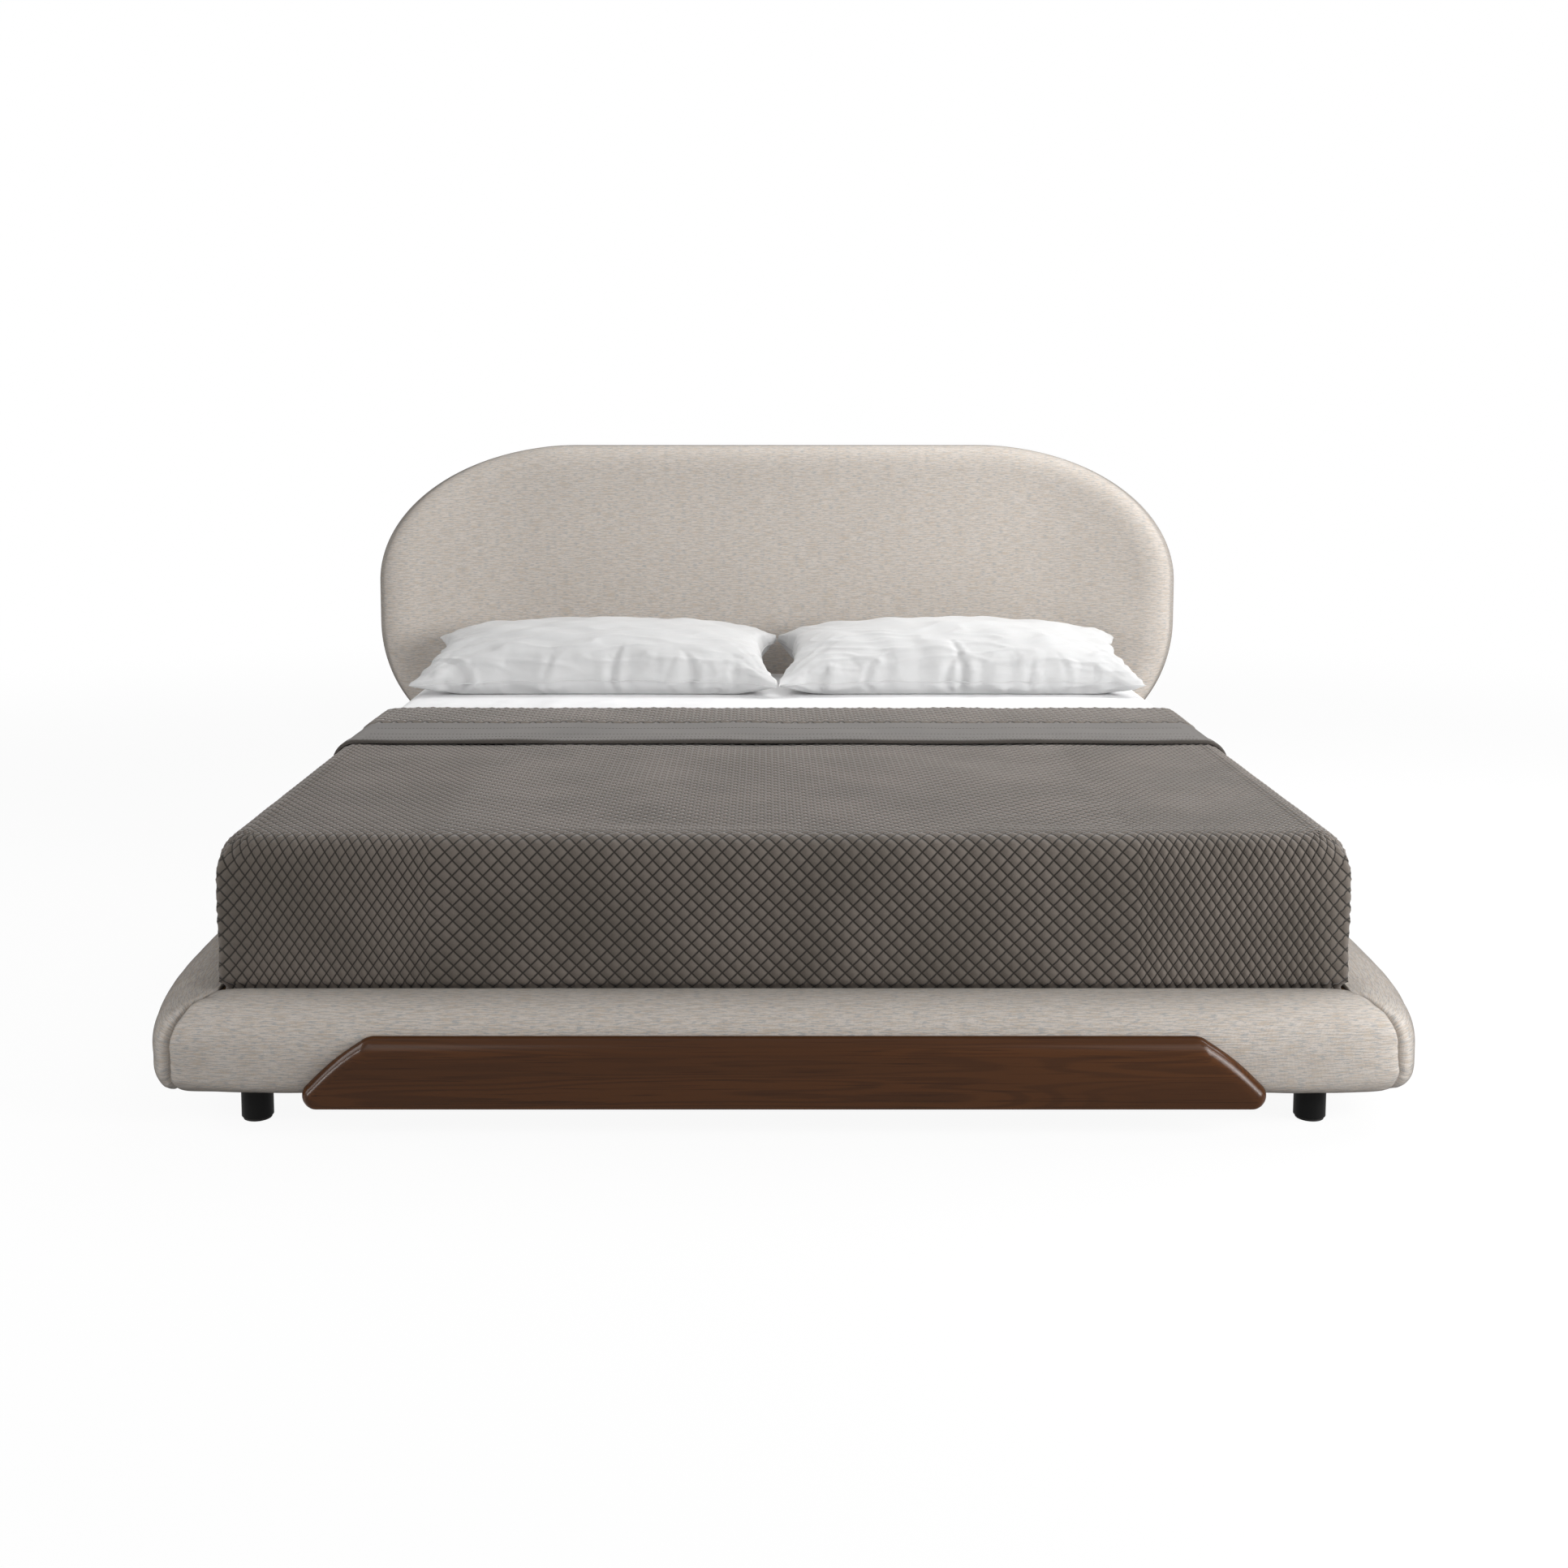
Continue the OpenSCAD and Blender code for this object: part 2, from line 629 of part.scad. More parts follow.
module at_slat_screws(i) {
    for (side = [-1, 1])
        translate([side * slat_screw_x, slat_screw_y(i), slat_top]) children();
}

function slat_screw_y(i) = max(slat_y0 + slat_pitch * i + slat_w / 2, ledger_y0 + slat_screw_end);

module slat_screw(grow) {
    rod(slat_screw_d + grow, -slat_screw_l, 0);
    rod(2 * slat_screw_d + grow, -slat_screw_head, grow > 0 ? cut : 0);
}

module ledger(side) {
    color(timber_c) at_bed() difference() {
        translate([side > 0 ? inner - ledger_w : -inner, ledger_y0, ledger_top - ledger_h])
            cube([ledger_w, ledger_y1 - ledger_y0, ledger_h]);
        for (i = [0:slats_n - 1]) at_slat_screws(i) slat_screw(2 * bolt_gap);
    }
}

// Centre support
beam_top = slat_top - slat_t - wood_gap / 3;
beam_z = beam_top - beam_h;
beam_y0 = bracket_t + 3 * wood_gap;
beam_y1 = head_board_y - bracket_t - 3 * wood_gap;
foot_pad_d = centre_leg_d - 4;
foot_pad_t = 8;
foot_stem_d = 12;
foot_stem_l = 3 * foot_travel;
foot_gap = 0.3;
centre_mid_y = (beam_y0 + beam_y1) / 2;
hanger_w = beam_w + 2 * (bracket_t + wood_gap);
hanger_arm = 30;
hanger_ear = 20;
hanger_plate_h = beam_h * 0.8;
hanger_arm_h = beam_h * 0.7;
hanger_bolt_z = beam_z + beam_h * 0.35;
hanger_bolt_l = 14;

module at_centre_leg(end) {
    translate([0, centre_mid_y - end * centre_leg_span / 2, 0]) children();
}

module beam_hanger(end) {
    y = end > 0 ? wood_gap : head_board_y - wood_gap - bracket_t;
    arm_y = end > 0 ? y : y + bracket_t - hanger_arm;
    low = beam_z - bracket_t - wood_gap;
    color(steel_c) at_bed() difference() {
        union() {
            translate([-hanger_w / 2 - hanger_ear, y, low])
                cube([hanger_w + 2 * hanger_ear, bracket_t, hanger_plate_h]);
            translate([-hanger_w / 2, arm_y, low]) cube([hanger_w, hanger_arm, hanger_arm_h]);
        }
        translate([-beam_w / 2 - wood_gap, arm_y + (end > 0 ? bracket_t : -cut), beam_z - wood_gap])
            cube([beam_w + 2 * wood_gap, hanger_arm - bracket_t + cut, beam_h]);
        hanger_bolts(end, bolt_gap);
    }
}

// Two bolts that hold a beam hanger to the frame board behind it
module hanger_bolts(end, grow) {
    y = end > 0 ? wood_gap + bracket_t : head_board_y - wood_gap - bracket_t;
    past = grow > 0 ? cut : 0;
    reach = bracket_t + hanger_bolt_l;
    for (x = [-1, 1]) translate([x * (hanger_w + hanger_ear) / 2, 0, hanger_bolt_z]) {
        if (end > 0) rod_y(bracket_bolt_d + 2 * grow, y - reach, y + past);
        else rod_y(bracket_bolt_d + 2 * grow, y - past, y + reach);
    }
}

module centre_leg(end) {
    color(black_c) at_bed() at_centre_leg(end) difference() {
        rod(centre_leg_d, foot_pad_t + foot_travel + wood_gap, beam_z - wood_gap / 3);
        rod(foot_stem_d + 2 * foot_gap, 0, foot_pad_t + foot_stem_l + foot_travel + hole_end);
    }
}

module levelling_foot(end) {
    color(black_c) at_bed() at_centre_leg(end) {
        rod(foot_pad_d, 0, foot_pad_t);
        rod(foot_stem_d, foot_pad_t - cut, foot_pad_t + foot_stem_l);
    }
}

// Legs
glide_in = 3;
module leg(end, side) {
    y = end > 0 ? leg_y_front : leg_y_rear;
    color(black_c) at_bed() translate([side * leg_x, y, 0]) {
        rod(leg_d, glide_t, leg_z);
        rod(stud_d, leg_z - cut, leg_z + stud_up);
    }
}

module leg_glides() {
    color([0.16, 0.16, 0.16]) at_bed() for (x = [-1, 1], y = [leg_y_front, leg_y_rear])
        translate([x * leg_x, y, 0]) rod(leg_d - 2 * glide_in, 0, glide_t);
}

// Headboard
module headboard_panel() {
    color(timber_c) at_bed() difference() {
        curved_board(panel_w0, panel_w1, panel_inset);
        post_holes(headboard_y + panel_w0 + panel_bolt_depth - hole_end);
    }
}

module headboard_foam() {
    e = fabric_t + soft_gap;
    rear = board_ring(headboard_foam, e);
    color(foam_c) at_bed()
        loft(concat(reverse(face_rings(headboard_foam, e)), [rear], front_edge(e),
            face_rings(e, edge_front_r)));
}

module headboard_cover() {
    e = fabric_t;
    rim = edge_back_r + cover_return;
    outer = concat([board_ring(headboard_t, rim)], back_edge(0), front_edge(0),
        face_rings(0, edge_front_r));
    inside = concat([board_ring(headboard_t - e, rim)], back_edge(e), front_edge(e),
        face_rings(e, edge_front_r));
    color(fabric_c) at_bed() loft(concat(reverse(inside), outer));
}

module headboard_back_panel() {
    rim = edge_back_r + cover_return + wood_gap;
    color(fabric_c) at_bed() difference() {
        curved_board(back_w0, headboard_t, rim);
        post_holes(0);
    }
}

module headboard_post(side) {
    color(black_c) at_bed() difference() {
        translate([side * post_span / 2 - post_w / 2, post_y, post_low])
            cube([post_w, post_t, post_top - post_low]);
        post_holes(0);
    }
}

module headboard_bolts() {
    head_y = post_y + post_t;
    color(steel_c) at_bed() for (x = [-1, 1]) translate([x * post_span / 2, 0, 0]) {
        at_post_bolts(rail_bolt_z) rod_y(bolt_d, head_board_y + panel_bolt_depth, head_y + cut);
        at_post_bolts(panel_bolt_z) rod_y(bolt_d, headboard_y + panel_w0 + panel_bolt_depth, head_y + cut);
        at_post_bolts(concat(rail_bolt_z, panel_bolt_z)) rod_y(bolt_head_d, head_y, head_y + bolt_head_t);
    }
}

// Rails
head_rail_r = 10;
module head_rail_frame() {
    color(timber_c) at_bed() difference() {
        head_frame();
        leg_holes();
        bracket_holes();
        hanger_bolts(-1, bolt_gap);
        post_holes(head_board_y + panel_bolt_depth - hole_end);
    }
}

module head_rail_cover() {
    depth = back_y - head_board_y;
    r = head_rail_r;
    module profile(e, start) {
        translate([start, rail_bottom + e]) square([depth - r - start, rail_h - 2 * e]);
        translate([start, rail_bottom + r]) square([depth - e - start, rail_h - 2 * r]);
        for (z = [rail_bottom + r, rail_top - r]) translate([depth - r, z]) circle(r - e, $fn = round_fn);
    }
    color(fabric_c) at_bed() difference() {
        translate([-inner + wood_gap, head_board_y, 0]) rotate([90, 0, 90])
            linear_extrude(opening_w - 2 * wood_gap) difference() {
                profile(0, 0);
                profile(fabric_t, -cut);
            }
        post_holes(head_board_y);
    }
}

module side_rail_frame(side) {
    color(timber_c) at_bed() difference() {
        mirror([side > 0 ? 0 : 1, 0, 0]) side_frame(0, 0);
        bracket_holes();
    }
}

module side_rail_foam(side) {
    color(foam_c) at_bed() mirror([side > 0 ? 0 : 1, 0, 0]) difference() {
        loft(path_rings(side_path(fabric_t + soft_gap + seam_gap), fabric_t + soft_gap));
        side_frame(wood_gap, base_z);
    }
}

module side_rail_cover(side) {
    outer = with_ends(side_path(seam_gap), 0);
    inside = with_ends(side_path(fabric_t + seam_gap), fabric_t);
    color(fabric_c) at_bed() mirror([side > 0 ? 0 : 1, 0, 0]) skin(outer, inside);
}

module foot_rail_frame() {
    color(timber_c) at_bed() difference() {
        foot_frame(0, 0);
        leg_holes();
        bracket_holes();
        hanger_bolts(1, bolt_gap);
        trim_holes();
    }
}

module foot_rail_foam() {
    color(foam_c) at_bed() difference() {
        loft(path_rings(foot_path(fabric_t + soft_gap + seam_gap), fabric_t + soft_gap));
        foot_frame(wood_gap, base_z);
        trim_holes();
    }
}

module foot_rail_cover() {
    outer = with_ends(foot_path(seam_gap), 0);
    inside = with_ends(foot_path(fabric_t + seam_gap), fabric_t);
    color(fabric_c) at_bed() difference() {
        skin(outer, inside);
        leg_holes();
        trim_holes();
    }
}

// Trim board outline inset by d, as [x, z]. Its slanted ends bow out a little and its upper
// corners are cut back by as much; its lower corners are rounded.
trim_bow = 6;
trim_chamfer = 1;
trim_corner = [[1, 0], [0.35, 0.12], [0.06, 0.45]];
trim_corner_h = 0.9;
function trim_outline(d) =
    let (low = trim_z + d, slope = (trim_bottom_l - trim_top_l) / 2 / trim_h, r = trim_corner_r,
        right = trim_bottom_l / 2 - d * norm([1, slope]), h0 = r * trim_corner_h,
        half = concat([for (c = trim_corner) [right - c[0] * r, low + c[1] * r]],
            [for (t = [0:0.125:1]) let (h = h0 + (trim_h - 2 * d - h0) * t)
                [right - slope * h + trim_bow * (t < 1 ? 4 * t * (1 - t) : -1), low + h]]))
    concat(half, [for (p = reverse(half)) [-p.x, p.y]]);

function trim_ring(y, d) = [for (p = trim_outline(d)) [p.x, y, p.y]];

module foot_trim() {
    color(walnut_c) at_bed() difference() {
        loft(concat([trim_ring(trim_y, trim_chamfer), trim_ring(trim_y - trim_chamfer, 0)],
            [for (a = [0:15:90]) trim_ring(trim_y - trim_t + trim_edge_r * (1 - sin(a)),
                trim_edge_r * (1 - cos(a)))]));
        trim_holes();
    }
}

module trim_screws() {
    color(steel_c) at_bed() at_trim_screws() {
        rod_y(trim_screw_d, trim_y - trim_screw_bite, -board_t);
    }
}

module corner_bracket(end, side) {
    color(steel_c) at_bed() at_corner(end, side) bracket();
}

module bracket_bolts() {
    color(steel_c) at_bed() {
        for (end = [-1, 1], side = [-1, 1])
            at_corner(end, side) corner_bolts(bracket_bolt_d, bracket_bolt_l);
        hanger_bolts(1, 0);
        hanger_bolts(-1, 0);
    }
}

module slat_screws() {
    color(steel_c) at_bed() for (i = [0:slats_n - 1]) at_slat_screws(i) slat_screw(0);
}

module centre_beam() {
    color(timber_c) at_bed()
        translate([-beam_w / 2, beam_y0, beam_z]) cube([beam_w, beam_y1 - beam_y0, beam_h]);
}

// Mattress and bedding
module mattress_block(grow) {
    w = mattress_w - 2 * ticking_t + 2 * grow;
    l = mattress_l - 2 * ticking_t + 2 * grow;
    r = mattress_corner_r - ticking_t + grow;
    translate([0, (mattress_y0 + mattress_y1) / 2, mattress_z0 + ticking_t - grow])
        linear_extrude(mattress_h - 2 * ticking_t + 2 * grow) {
            square([w - 2 * r, l], center = true);
            square([w, l - 2 * r], center = true);
            for (x = [-1, 1], y = [-1, 1])
                translate([x * (w / 2 - r), y * (l / 2 - r)]) circle(r, $fn = round_fn);
        }
}

module mattress_core() {
    color(foam_c) at_bed() mattress_block(0);
}

module mattress_cover() {
    e = mattress_edge_r;
    low = [for (i = [0:3]) let (a = 22.5 * i, d = e * (1 - sin(a)))
        round_rect(-mattress_w / 2 + d, mattress_w / 2 - d, mattress_y0 + d, mattress_y1 - d,
            mattress_corner_r - d, mattress_z0 + e * (1 - cos(a)))];
    color(white_c) at_bed() difference() {
        loft(concat(low, slab_rings(0, mattress_z0 + e)));
        mattress_block(wood_gap);
    }
}

module fitted_sheet() {
    color(white_c) at_bed() loft(tray_rings(soft_gap, sheet_t, slat_top + sheet_hem));
}

module coverlet() {
    g = soft_gap + sheet_t + soft_gap;
    low = slat_top + coverlet_hem;
    band_low = rail_top + band_clear;
    fold_y = rail_gap + coverlet_l;
    band_sink = 0.5;
    color(quilt_c) at_bed() {
        difference() {
            loft(tray_rings(g, coverlet_t, low));
            translate([-mattress_w, fold_y, 0]) cube([2 * mattress_w, mattress_l, headboard_top]);
        }
        intersection() {
            loft(tray_rings(g + coverlet_t - band_sink, band_t + band_sink, low));
            translate([-mattress_w, fold_y - band_l, band_low])
                cube([2 * mattress_w, band_l, headboard_top]);
        }
    }
}

module pillow_case(side) {
    color(white_c) at_pillow(side) difference() {
        pillow_body(0);
        pillow_body(case_t);
    }
}

module pillow_insert(side) {
    color(white_c) at_pillow(side) pillow_body(2 * case_t);
}

headboard_panel();
headboard_foam();
headboard_cover();
headboard_back_panel();
headboard_post(-1);  // headboard_post_left
headboard_post(1);  // headboard_post_right
headboard_bolts();
head_rail_frame();
head_rail_cover();
side_rail_frame(-1);  // side_rail_frame_left
side_rail_foam(-1);  // side_rail_foam_left
side_rail_cover(-1);  // side_rail_cover_left
side_rail_frame(1);  // side_rail_frame_right
side_rail_foam(1);  // side_rail_foam_right
side_rail_cover(1);  // side_rail_cover_right
foot_rail_frame();
foot_rail_foam();
foot_rail_cover();
foot_trim();
trim_screws();
corner_bracket(1, -1);  // bracket_front_left
corner_bracket(1, 1);  // bracket_front_right
corner_bracket(-1, -1);  // bracket_rear_left
corner_bracket(-1, 1);  // bracket_rear_right
bracket_bolts();
leg(1, -1);  // leg_front_left
leg(1, 1);  // leg_front_right
leg(-1, -1);  // leg_rear_left
leg(-1, 1);  // leg_rear_right
leg_glides();
ledger(-1);  // slat_ledger_left
ledger(1);  // slat_ledger_right
slat(0);  // slat_01
slat(1);  // slat_02
slat(2);  // slat_03
slat(3);  // slat_04
slat(4);  // slat_05
slat(5);  // slat_06
slat(6);  // slat_07
slat(7);  // slat_08
slat(8);  // slat_09
slat(9);  // slat_10
slat_screws();
centre_beam();
beam_hanger(1);  // beam_hanger_front
beam_hanger(-1);  // beam_hanger_rear
centre_leg(1);  // centre_leg_front
centre_leg(-1);  // centre_leg_rear
levelling_foot(1);  // levelling_foot_front
levelling_foot(-1);  // levelling_foot_rear
mattress_core();
mattress_cover();
fitted_sheet();
coverlet();
pillow_case(-1);  // pillow_case_left
pillow_insert(-1);  // pillow_insert_left
pillow_case(1);  // pillow_case_right
pillow_insert(1);  // pillow_insert_right
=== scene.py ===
import math

import bmesh
import bpy
import numpy as np
from bpy.props import FloatProperty, FloatVectorProperty, IntProperty, PointerProperty
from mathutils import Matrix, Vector
from mathutils.bvhtree import BVHTree


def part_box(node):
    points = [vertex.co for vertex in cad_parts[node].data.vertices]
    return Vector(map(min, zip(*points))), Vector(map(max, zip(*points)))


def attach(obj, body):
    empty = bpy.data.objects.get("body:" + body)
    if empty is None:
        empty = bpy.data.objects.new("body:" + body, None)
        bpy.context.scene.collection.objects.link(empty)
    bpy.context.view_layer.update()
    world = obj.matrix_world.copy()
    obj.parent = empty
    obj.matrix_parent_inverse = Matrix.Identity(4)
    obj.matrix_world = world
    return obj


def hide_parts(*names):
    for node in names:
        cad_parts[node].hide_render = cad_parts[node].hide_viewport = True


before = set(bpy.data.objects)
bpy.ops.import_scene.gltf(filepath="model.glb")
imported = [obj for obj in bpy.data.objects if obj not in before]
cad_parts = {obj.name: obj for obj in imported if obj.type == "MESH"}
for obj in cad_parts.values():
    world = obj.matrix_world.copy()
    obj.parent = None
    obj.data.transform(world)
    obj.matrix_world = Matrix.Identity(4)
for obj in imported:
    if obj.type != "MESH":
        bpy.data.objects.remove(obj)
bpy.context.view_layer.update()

bl_info = {
    "name": "Upholstered bed",
    "version": (1, 0, 0),
    "blender": (4, 5, 0),
    "location": "3D View > Sidebar > Bed",
    "description": "Dresses the bed's frame with its pads, covers, bedding and finishes",
    "category": "Object",
}

# Places that the frame gives, in metres
OPEN_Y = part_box("foot_rail_cover")[1].y
SIDE_LOW, SIDE_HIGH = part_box("side_rail_cover_right")
FOOT_BOARD_LOW, FOOT_BOARD_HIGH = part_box("foot_rail_frame")
HEAD_COVER_LOW, HEAD_COVER_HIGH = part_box("head_rail_cover")
BOARD_LOW, BOARD_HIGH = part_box("headboard_cover")
TRIM_LOW, TRIM_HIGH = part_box("foot_trim")
MATTRESS_LOW, MATTRESS_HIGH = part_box("mattress_cover")
SHEET_LOW, SHEET_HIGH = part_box("fitted_sheet")
COVERLET_LOW, COVERLET_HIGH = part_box("coverlet")
PILLOW_LOW, PILLOW_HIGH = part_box("pillow_case_right")

INNER = SIDE_LOW.x
RAIL_BOTTOM, RAIL_TOP = SIDE_LOW.z, SIDE_HIGH.z
BACK_Y = BOARD_HIGH.y
FOLD_Y = COVERLET_HIGH.y

# Rails, in metres: widest height as a share, roundness of the top and bottom, seams and taper
RAIL_WIDEST = 0.44
RAIL_MID = RAIL_BOTTOM + RAIL_WIDEST * (RAIL_TOP - RAIL_BOTTOM)
RAIL_ROUND_TOP = 2.5
RAIL_ROUND_BOTTOM = 5
RAIL_STEPS = 104
FOOT_DEPTH = 0.108
SIDE_DEPTH = 0.153
SIDE_OUT = INNER + SIDE_DEPTH
SEAM_OUT = 0.059
SEAM_FRONT = 0.092
SEAM_START_GAP = 0.0005
SEAM_DIP = 0.007
FOOT_CORNER_L = 0.062
SIDE_TAPER_L = 0.54
SIDE_END_L = 0.15
SIDE_END_IN = 0.072
BOARD_T = 0.022
SHELF_D = 0.064
SHELF_SHARE = 0.62
SHELF_T = 0.018
FRAME_GAP = 0.0004
HEAD_RAIL_R = 0.01

# Headboard, in metres; its flat state is measured along the curve and upwards
BOARD_T_ALL = 0.095
BOARD_HALF = INNER + 0.127
WING_L = 0.41
WING_U = BOARD_HALF - WING_L
WING_R = 0.838
BOARD_Y = BACK_Y - BOARD_T_ALL
CURVE_Y = BOARD_Y - WING_R
CORNER_TOP = (0.53, 0.386)
CORNER_LOW = (0.35, 0.39)
CORNER_STEPS = 40
EDGE_FRONT = 0.042
EDGE_SOFT = 0.07
EDGE_BACK = 0.022
COVER_RETURN = 0.014
COVER_T = 0.002
FOAM_D = 0.056

# Trim board, in metres
TRIM_SLANT = math.radians(39.5)
TRIM_TIP_R = 0.02
TRIM_TOP_R = 0.037
TRIM_BOW = 0.004
TRIM_SHORT = 0.006
TRIM_EASE = 0.001
BEVEL_TURN = math.radians(62)
BEVEL_TOP = 0.027
BEVEL_LOW = 0.003
BEVEL_DEEP = 0.025
BEVEL_END_R = 0.028

# Mattress and fitted sheet, in metres
MATTRESS_EDGE = 0.03
MATTRESS_CORNER = 0.046
MATTRESS_GRID = 0.03
MATTRESS_TUFT = 0.12
MATTRESS_HOLLOW = 0.003
UNDERSIDE_LIFT = 0.004
SHEET_GAP = 0.0005
SHEET_T = 0.0016
SHEET_SHOWN = (0.2, 0.75)

# Coverlet, in metres: its band is turned back over it, and has a quilted strip and two lines
BAND_L = 0.448
BAND_T = 0.009
BAND_LOW = RAIL_TOP + 0.008
STRIP_L = 0.21
FAINT_L = 0.193
QUILT_ZONE = 23
QUILT_T = 0.008
QUILT_CORNER = MATTRESS_CORNER + 0.0143
COVER_OUT = 0.044
COVER_TOP = COVERLET_HIGH.z - BAND_T
COVER_HALF = COVERLET_HIGH.x - BAND_T
COVER_BULGE = 0.009
ROLL = 0.01
ROLL_H = 0.0086
STITCH_ROWS = (STRIP_L + 0.004, STRIP_L + 0.075, STRIP_L + 0.15, STRIP_L + FAINT_L + 0.01,
               BAND_L - 0.008)

# Pillows, in metres
PILLOW_CROWN = 0.098
PILLOW_BELLY = 0.058
PILLOW_SLOPE = math.radians(9)
PILLOW_COS, PILLOW_SIN = math.cos(PILLOW_SLOPE), math.sin(PILLOW_SLOPE)
PILLOW_DRAW_W = 0.026
PILLOW_DRAW_D = 0.02
PILLOW_FULL = 0.42
PILLOW_HALF_W = (PILLOW_HIGH.x - PILLOW_LOW.x) / 2
PILLOW_HALF_D = 0.44 / 2
SWELL_TOP = 0.008
SWELL_LOW = 0.004

# Creases at the front edge of each pillow: place, lean, depth and length
FRONT_FOLDS = {
    "left": ((-0.31, -1.2, 0.01, 0.14), (-0.18, 1.1, 0.006, 0.08), (0.03, 0.3, 0.01, 0.12),
             (0.15, 0.9, 0.006, 0.07), (0.27, -0.5, 0.007, 0.1)),
    "right": ((-0.27, 0.8, 0.006, 0.08), (-0.07, 0.9, 0.008, 0.1), (0.02, -0.3, 0.012, 0.14),
              (0.16, 0.6, 0.006, 0.07), (0.3, -0.6, 0.006, 0.09)),
}

# Stitches and the pillows' welts, in metres; a pillow's stitches are closer by a share
BAND_STITCH = {"Length": 0.005, "Thread": 0.0011}
PILLOW_STITCH = {"Length": 0.003, "Thread": 0.0006}
PILLOW_STITCH_SHARE = 0.6
STITCH_LIFT = 0.0002
WELT_LIFT, WELT_R = 0.0004, 0.0016

# Threads and patterns of the cloths, in metres
OATMEAL_THREAD = 0.0017
COTTON_THREAD = 0.0011
BAND_DOT = 0.011
TICKING_STEP = 0.03

# Shader sockets that several finishes set
SPECULAR, SHEEN = "Specular IOR Level", "Sheen Weight"

# Distance under which a mesh's points are merged, and its edges are taken to have no length
MERGE, NO_LENGTH = 1e-5, 1e-6

# Photograph: its size, and rows and lengths in its pixels
PHOTO_SIZE = 1932
PHOTO_AXIS_ROW = 738
PHOTO_HORIZON_ROW = 510
PHOTO_FOCAL = 2200

WHITE = (1, 1, 1)
MIRROR = [-1, 1]


def tint(red, green, blue):
    """Linear colour of an 8-bit one"""
    shares = [c / 255 for c in (red, green, blue)]
    return [c / 12.92 if c <= 0.04045 else ((c + 0.055) / 1.055) ** 2.4 for c in shares]


def colour(name, about, red, green, blue):
    """Colour property with an 8-bit default"""
    return FloatVectorProperty(name=name, description=about, subtype="COLOR", size=3,
                               min=0, max=1, default=tint(red, green, blue))


def length(name, about, default):
    """Length property in metres"""
    return FloatProperty(name=name, description=about, subtype="DISTANCE", unit="LENGTH",
                         default=default)


def amount(name, about, default):
    """Property with no unit"""
    return FloatProperty(name=name, description=about, default=default)


class BedColours(bpy.types.PropertyGroup):
    """Colours of the bed's finishes"""
    oatmeal: colour("Oatmeal", "Main yarn of the upholstery fabric", 213, 205, 197)
    oatmeal_warm: colour("Warm yarn", "Tan slubs of the upholstery fabric", 200, 187, 173)
    oatmeal_cool: colour("Cool yarn", "Grey slubs of the upholstery fabric", 181, 179, 177)
    walnut: colour("Walnut", "Stained wood of the trim board", 82, 48, 22)
    walnut_dark: colour("Walnut grain", "Dark grain of the trim board", 57, 32, 14)
    timber: colour("Timber", "Pale wood of the frame and slats", 205, 172, 126)
    timber_dark: colour("Timber grain", "Grain of the frame and slats", 168, 128, 84)
    quilt: colour("Quilt", "Cotton of the coverlet", 100, 93, 86)
    quilt_light: colour("Quilt highlight", "Worn tops of the coverlet's puffs", 113, 105, 98)
    # The pillows' cotton is the sheet's white cotton dimmed, as painted shade on the pillows
    pillow: colour("Pillow cotton", "White cotton of the pillow cases", 206, 206, 206)
    cotton: colour("Cotton", "White cotton of the fitted sheet", 242, 242, 243)
    ticking: colour("Ticking", "Woven cover of the mattress", 226, 224, 218)
    ticking_stripe: colour("Ticking stripe", "Stripes of the mattress cover", 176, 180, 188)
    black: colour("Black", "Powder coat of the legs and posts", 12, 12, 12)
    steel: colour("Steel", "Zinc plated fixings", 158, 160, 164)
    glide: colour("Glide", "Felt under the legs", 46, 45, 44)


class BedSizes(bpy.types.PropertyGroup):
    """Sizes of the bed's soft surfaces"""
    quilt_w: length("Diamond width", "Width of a quilted diamond in the middle", 0.0265)
    quilt_side_w: length("Side diamond width", "Width of a quilted diamond at the sides", 0.018)
    quilt_h: length("Diamond height", "Height of a quilted diamond", 0.0264)
    strip_w: length("Strip diamond width", "Width of a diamond on the folded edge", 0.036)
    strip_h: length("Strip diamond height", "Height of a diamond on the folded edge", 0.033)
    puff: length("Puff", "How far the quilted diamonds stand up", 0.0034)
    seam_depth: length("Seam depth", "How far the corner seams pull the rails in", 0.011)
    seam_width: length("Seam width", "Reach of the corner seams' pull", 0.006)
    crown: length("Headboard crown", "How far the headboard's face bows out", 0.004)
    voxel: length("Pillow voxel", "Size of the pillow cloth's faces", 0.007)
    pressure: amount("Pillow pressure", "Pressure of the pillow filling", 3.0)
    pillow_cap: length("Pillow movement", "How far a point of a pillow may move", 0.016)
    stitch: length("Stitch", "Distance between stitches", 0.008)
    steps: IntProperty(name="Simulation steps", description="Frames of the pillow simulation",
                       default=20)


class StageSizes(bpy.types.PropertyGroup):
    """Camera, lamps and floor"""
    camera_y: length("Camera distance", "Camera's place in front of the origin", 4.032)
    camera_z: length("Camera height", "Height of the camera", 1.203)
    camera_x: length("Camera offset", "Camera's place beside the bed's centre line", -0.0285)
    top_light: amount("Top light", "Power of the lamp above the bed", 44)
    key_light: amount("Key light", "Power of the lamp at the right", 116)
    front_light: amount("Front light", "Power of each lamp at the front", 30)
    high_light: amount("High light", "Power of the lamp high at the right", 74)
    trim_light: amount("Trim light", "Power of each narrow lamp at the foot", 28)
    left_light: amount("Left light", "Power of the lamp at the left", 42)
    room_light: amount("Room light", "Strength of the room's light", 0.02)
    floor: colour("Floor", "Colour of the floor", 190, 190, 190)


